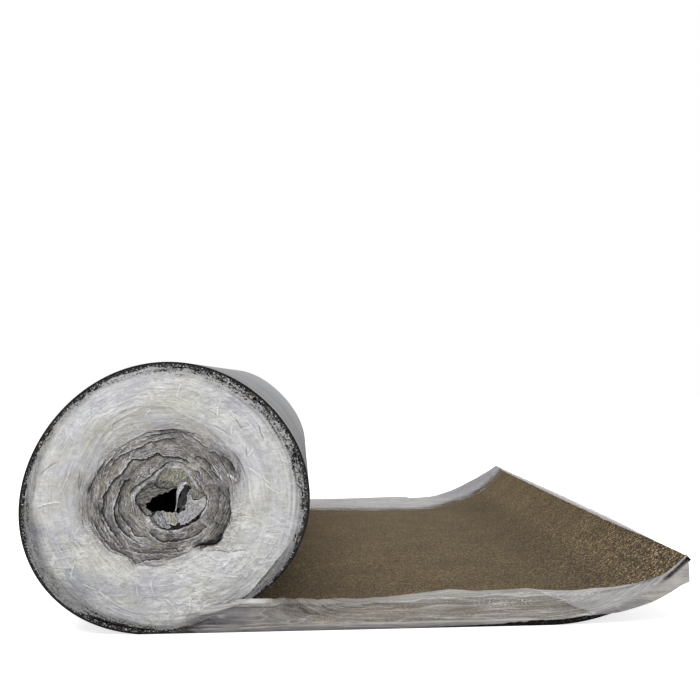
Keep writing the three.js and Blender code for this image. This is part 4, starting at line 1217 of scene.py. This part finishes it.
def edge_strip(side, stations, seed):
    """The film folded over the tail's edge: up outside the edge, over it, and in across the granules."""
    along, across = grid(STRIP_GRIDS, side)
    at = np.linspace(stations[0, 0], stations[-1, 0], along)[:, None]
    leg, tilt, hang, puff, clear, stand = (np.interp(at, stations[:, 0], column) for column in stations.T[1:])
    tilt, clear = np.radians(tilt), clear / 100
    share = np.linspace(0, 1, across)[None, :]
    wall = share < WALL_SHARE
    up_wall = np.clip(share / WALL_SHARE, 0, 1)
    on_leg = np.clip((share - WALL_SHARE) / (1 - WALL_SHARE), 0, 1)
    over = leg * on_leg
    u = at / STRIP_UNIT

    # How far the leg stands proud of the sheet: folds and dents, and a hem folded back along its free edge
    slack = 0.5 * drift(u * 1.4, over / 35, seed)
    folds = creased(u * 0.4, over / 17 + 1.2 * slack, seed + 1, octaves=2, sharp=9.0)
    dents = dented(at / 40, over / 13 + slack, seed + 2)
    calm = 0.1 + 0.9 * between(110, 200, at)
    hem_start = 0.7 + 0.10 * drift(u * 1.5, 0, seed + 3) + 0.03 * drift(u * 5, 0, seed + 8)
    hem = between(hem_start, hem_start + 0.03, on_leg)
    welt = np.exp(-((on_leg - hem_start) / 0.022) ** 2)
    proud = 0.4 + puff * np.sin(math.pi * (0.12 + 0.88 * on_leg)) ** 2 * 0.5
    proud = proud + calm * np.maximum(0, 1.5 * folds - 0.7 * dents) * between(0, 0.06, on_leg)
    proud = proud + stand * (1 - between(0.0, 0.45, on_leg))
    proud = proud + (0.5 * hem + 1.2 * welt) * between(0, 18, leg)
    proud = proud * (1 - 0.9 * between(0.8, 1.0, on_leg))
    lift = relief(proud)

    # The wall outside the sheet's edge, then the leg over it: in from the edge, and above the underside
    corner = SHEET_THICKNESS / MM + 0.8
    frayed = 1.1 * drift(u * 9, 0, seed + 20) * between(1, 4, -hang)
    foot = np.clip(frayed - hang, 0.5, corner - 0.3)
    wall_out = 0.6 + 0.9 * np.sin(math.pi * up_wall) + 0.3 * drift(u * 6, up_wall * 2, seed + 4)
    waver = 1.5 * drift(u * 2.2, 0, seed + 5) + 0.7 * drift(u * 7, 0, seed + 6)
    over = over + waver * on_leg * between(0, 40, leg)
    inwards = np.where(wall, -wall_out, over * np.cos(tilt) - proud * np.sin(tilt) - 0.6)
    above_wall = foot + (corner + stand - foot) * up_wall
    above = np.where(wall, above_wall, corner + over * np.sin(tilt) + proud * np.cos(tilt))
    past_end = between(440, 472, at) * (3.4 * np.where(wall, up_wall, 1) - 1.2) * (side == FRONT)
    points = tail_point((at + past_end) * MM, side * (HALF_WIDTH - inwards * MM), above * MM)
    points[..., 2] -= np.maximum(0, hang) * (1 - up_wall) * MM

    # Beside the roll it lies on the collar.
    facing = np.arctan2(points[..., 2] - AXIS_HEIGHT, points[..., 0])
    from_axis = np.hypot(points[..., 2] - AXIS_HEIGHT, points[..., 0]) / MM
    against = pillow(rim_radius(side, facing, seed - 70) - from_axis) + 0.9 + 0.5 * proud
    behind = np.maximum(0, HALF_WIDTH + against * MM - side * points[..., 1])
    points[..., 1] += side * between(ON_ROLL + 34, ON_ROLL, at) * ~wall * behind

    # Painted light on its folds, edges and glints, and painted shade in hollows and by the hem, for both
    # strips
    glints = between(0.55, 0.95, creased(u * 3.0, over / 7 + slack, seed + 9, octaves=2, sharp=9.0))
    glints = glints * between(0.1, 0.5, drift(u * 0.9, over / 60, seed + 10))
    light = 0.3 * np.clip(lift / 0.4, 0, 1) + 0.5 * welt + 0.35 * between(0.985, 1.0, on_leg) + 0.5 * glints
    light = light + 0.4 * between(0.05, 0.0, on_leg) + 0.04 * hem
    light = np.where(wall, 0.4 * between(0.8, 1.0, up_wall), light)
    dark = 0.4 * np.clip(-lift / 0.5, 0, 1)
    dark = dark + 0.22 * between(hem_start - 0.2, hem_start - 0.03, on_leg) * (1 - hem)
    if side == BACK:
        on_curl = between(300, 400, at)
        free = between(0.7 - 0.2 * on_curl, 1.0, on_leg)
        dark = (dark + 0.5 + 0.6 * on_curl + 0.2 * drift(u * 0.7, on_leg * 4, seed + 13)) * (1 - 0.7 * free)
        light = 0.3 * light * (1 - free)
        clear = clear + 0.9 * free
    streams = drift(u * 0.5, on_leg * 8, seed + 12) * between(140, 80, at)
    # Painted shade in the furrow where the strip leaves the roll
    in_seam = np.exp(-((on_leg - np.interp(at, *SEAM.T)) / 0.06) ** 2) * window(60, 80, 80, 125, at)
    light = (light + 0.4 * np.clip(streams, 0, 1)) * (1 - in_seam)
    dark = dark + 0.5 * np.clip(-streams, 0, 1)
    clear = clear * (1 + 0.2 * drift(u * 1.2, over / 16, seed + 7))
    if side == FRONT:
        dark = dark + 0.5 * in_seam
        clear = clear * (1 - 0.35 * hem)
        tones = paled_by_roll(at, on_leg, calm, streams, seed, light, dark, clear)
        light, dark, clear = backed_past_crease(at, on_leg, over, wall, seed, *tones)

    # The wall is dark, but pale on the flap at the near cut end, and clear along the top by either cut end.
    beside_end = between(0.68, 0.84, up_wall) * between(432, 452, at)
    clear = np.where(wall, 0.45 * clear + 0.95 * beside_end, clear * (1 - 0.35 * np.clip(folds * 1.4, 0, 1)))
    light = light * (1 - beside_end * wall)
    wall_dark = 0.72 - 0.6 * between(395, 430, at) * (side == FRONT)
    dark = np.where(wall, wall_dark * between(1.0, 0.75, up_wall), dark)
    fading = between(0.72 if side == FRONT else 0.3, 1.0, on_leg) * between(ON_ROLL + 6, ON_ROLL - 12, at)
    fading = np.maximum(fading, between(40, 6, at + 9 * drift(u * 6, share * 12, seed + 15)))
    return film_piece("strip", side, FOLDED, points, (u, share), flip=side > 0,
                      light=np.clip(light, 0, 1) * (1 - fading), dark=np.clip(dark, 0, 1),
                      clear=np.clip(clear + fading, 0, 1))


# [how far back, how far over the end the film shows]
LIP_WIDTH = np.array([[-400, 0.3], [-377, 0.9], [-270, 2.5], [0, 3.0], [340, 2.3], [501.5, 1.6]])


def end_lip():
    """The strip of film that shows round the cut end of the sheet."""
    film = Patchwork(NUMBERS)
    y = np.linspace(*LIP_WIDTH[[0, -1], 0], 200)[:, None]
    share = np.linspace(0, 1, 14)[None, :]
    ragged = 1 + 0.2 * drift(y / 30, 0, 61) + 0.1 * drift(y / 8, 0, 63)
    wide = np.interp(y, *LIP_WIDTH.T) * ragged
    past_end = wide * np.where(share < 0.5, 1.0, 0.9) * (share / 0.5 - 1)
    above = SHEET_THICKNESS / MM + 0.7 + 0.3 * drift(y / 20, share * 2, 62) - 1.6 * between(0.5, 1.0, share)
    points = tail_point(END_OF_SHEET + past_end * MM, y * MM, above * MM)
    # Painted light where it rounds the cut end and painted shade along its inner side
    film.add(points, (y / 100, share), light=0.25 * between(0.3, 0.6, share),
             dark=0.3 * between(0.5, 0.0, share), clear=0.12)
    return finish_piece(film.make("film_end_lip", [FOLDED]), "film", "film_back")


# ---------------------------------------------------------------- stage, camera and lights

CAMERA_PLACE = Vector((0.12037, -1.49346, 0.21928))
CAMERA_YAW, CAMERA_PITCH, CAMERA_ROLL = math.radians(2.333), math.radians(1.314), math.radians(-0.779)
CAMERA_LENS, CAMERA_SENSOR = 58.76, 36
# Each lamp's place, target, size in metres and power in watts
LAMPS = {
    "key": ((-1.0, -2.2, 2.4), (0.1, -0.3, 0.05), 1.3, 56),
    "fill": ((2.4, -1.6, 1.5), (0.2, -0.1, 0.05), 2.0, 15),
    "top": ((0.3, 0.9, 2.6), (0.2, 0.0, 0.05), 1.8, 25),
}
SKY_LIGHT, SKY_SEEN = 0.38, 1.0
FLOOR_TONE, FLOOR_GLOW = 0.8, 0.75
FLOOR_REACH, FLOOR_DROP = 8, 0.3 * MM


def camera():
    data = bpy.data.cameras.new("camera")
    data.sensor_fit = "HORIZONTAL"
    data.sensor_width = CAMERA_SENSOR
    data.lens = CAMERA_LENS
    forward = Vector((math.sin(CAMERA_YAW) * math.cos(CAMERA_PITCH),
                      math.cos(CAMERA_YAW) * math.cos(CAMERA_PITCH), math.sin(CAMERA_PITCH)))
    level = Vector((math.cos(CAMERA_YAW), -math.sin(CAMERA_YAW), 0))
    upright = level.cross(forward)
    right = level * math.cos(CAMERA_ROLL) + upright * math.sin(CAMERA_ROLL)
    up = upright * math.cos(CAMERA_ROLL) - level * math.sin(CAMERA_ROLL)
    seen = linked("camera", data)
    seen.matrix_world = Matrix.Translation(CAMERA_PLACE) @ Matrix((right, up, -forward)).transposed().to_4x4()
    bpy.context.scene.camera = seen


def lamps():
    for name, (place, target, size, power) in LAMPS.items():
        data = bpy.data.lights.new(name, "AREA")
        data.shape = "DISK"
        data.size = size
        data.energy = power
        made = linked(name, data)
        made.location = place
        made.rotation_euler = (Vector(target) - Vector(place)).to_track_quat("-Z", "Y").to_euler()


def surround():
    """A world that is white for the camera, in reflections and through the film, and lights more dimly."""
    world = bpy.data.worlds.new("surround")
    bpy.context.scene.world = world
    nodes = Nodes(world)
    path = nodes.node("ShaderNodeLightPath").outputs
    seen = nodes.plus(path["Is Camera Ray"], path["Is Glossy Ray"], clamp=True)
    seen = nodes.plus(seen, path["Is Transmission Ray"], clamp=True)
    dim, white = (nodes.node("ShaderNodeBackground", {"Color": (1, 1, 1, 1), "Strength": strength}).outputs[0]
                  for strength in (SKY_LIGHT, SKY_SEEN))
    mixed = nodes.node("ShaderNodeMixShader", {0: seen, 1: dim, 2: white})
    nodes.node("ShaderNodeOutputWorld", {"Surface": mixed.outputs[0]})


def ground():
    """A pale floor that keeps the object's shadow."""
    mesh = bpy.data.meshes.new("floor")
    corners = [(x * FLOOR_REACH, y * FLOOR_REACH, 0) for x, y in ((-1, -1), (1, -1), (1, 1), (-1, 1))]
    mesh.from_pydata(corners, [], [(0, 1, 2, 3)])
    floor = linked("floor", mesh)
    floor.location.z = -FLOOR_DROP
    material = bpy.data.materials.new("floor")
    nodes = Nodes(material)
    diffuse = nodes.node("ShaderNodeBsdfDiffuse", {"Color": (FLOOR_TONE, FLOOR_TONE, FLOOR_TONE, 1)})
    glow = nodes.times(nodes.node("ShaderNodeLightPath").outputs["Is Camera Ray"], FLOOR_GLOW)
    glowing = nodes.node("ShaderNodeEmission", {"Strength": glow})
    added = nodes.node("ShaderNodeAddShader", {0: diffuse.outputs[0], 1: glowing.outputs[0]})
    nodes.node("ShaderNodeOutputMaterial", {"Surface": added.outputs[0]})
    mesh.materials.append(material)


# ---------------------------------------------------------------- the scene

bpy.context.scene.view_settings.view_transform = "Standard"
CRUMPLED, FOLDED = crumpled_film_material(), folded_film_material()
camera()
lamps()
surround()
ground()
felt_sheet()
for end, strip, first_seed in ((FRONT, FRONT_STRIP, 1), (BACK, BACK_STRIP, 501)):
    collar(end, first_seed)
    whorl(end, first_seed + 40)
    pocket(end, first_seed + 60)
    strand(end, first_seed + 90)
    edge_strip(end, strip, first_seed + 70)
end_lip()
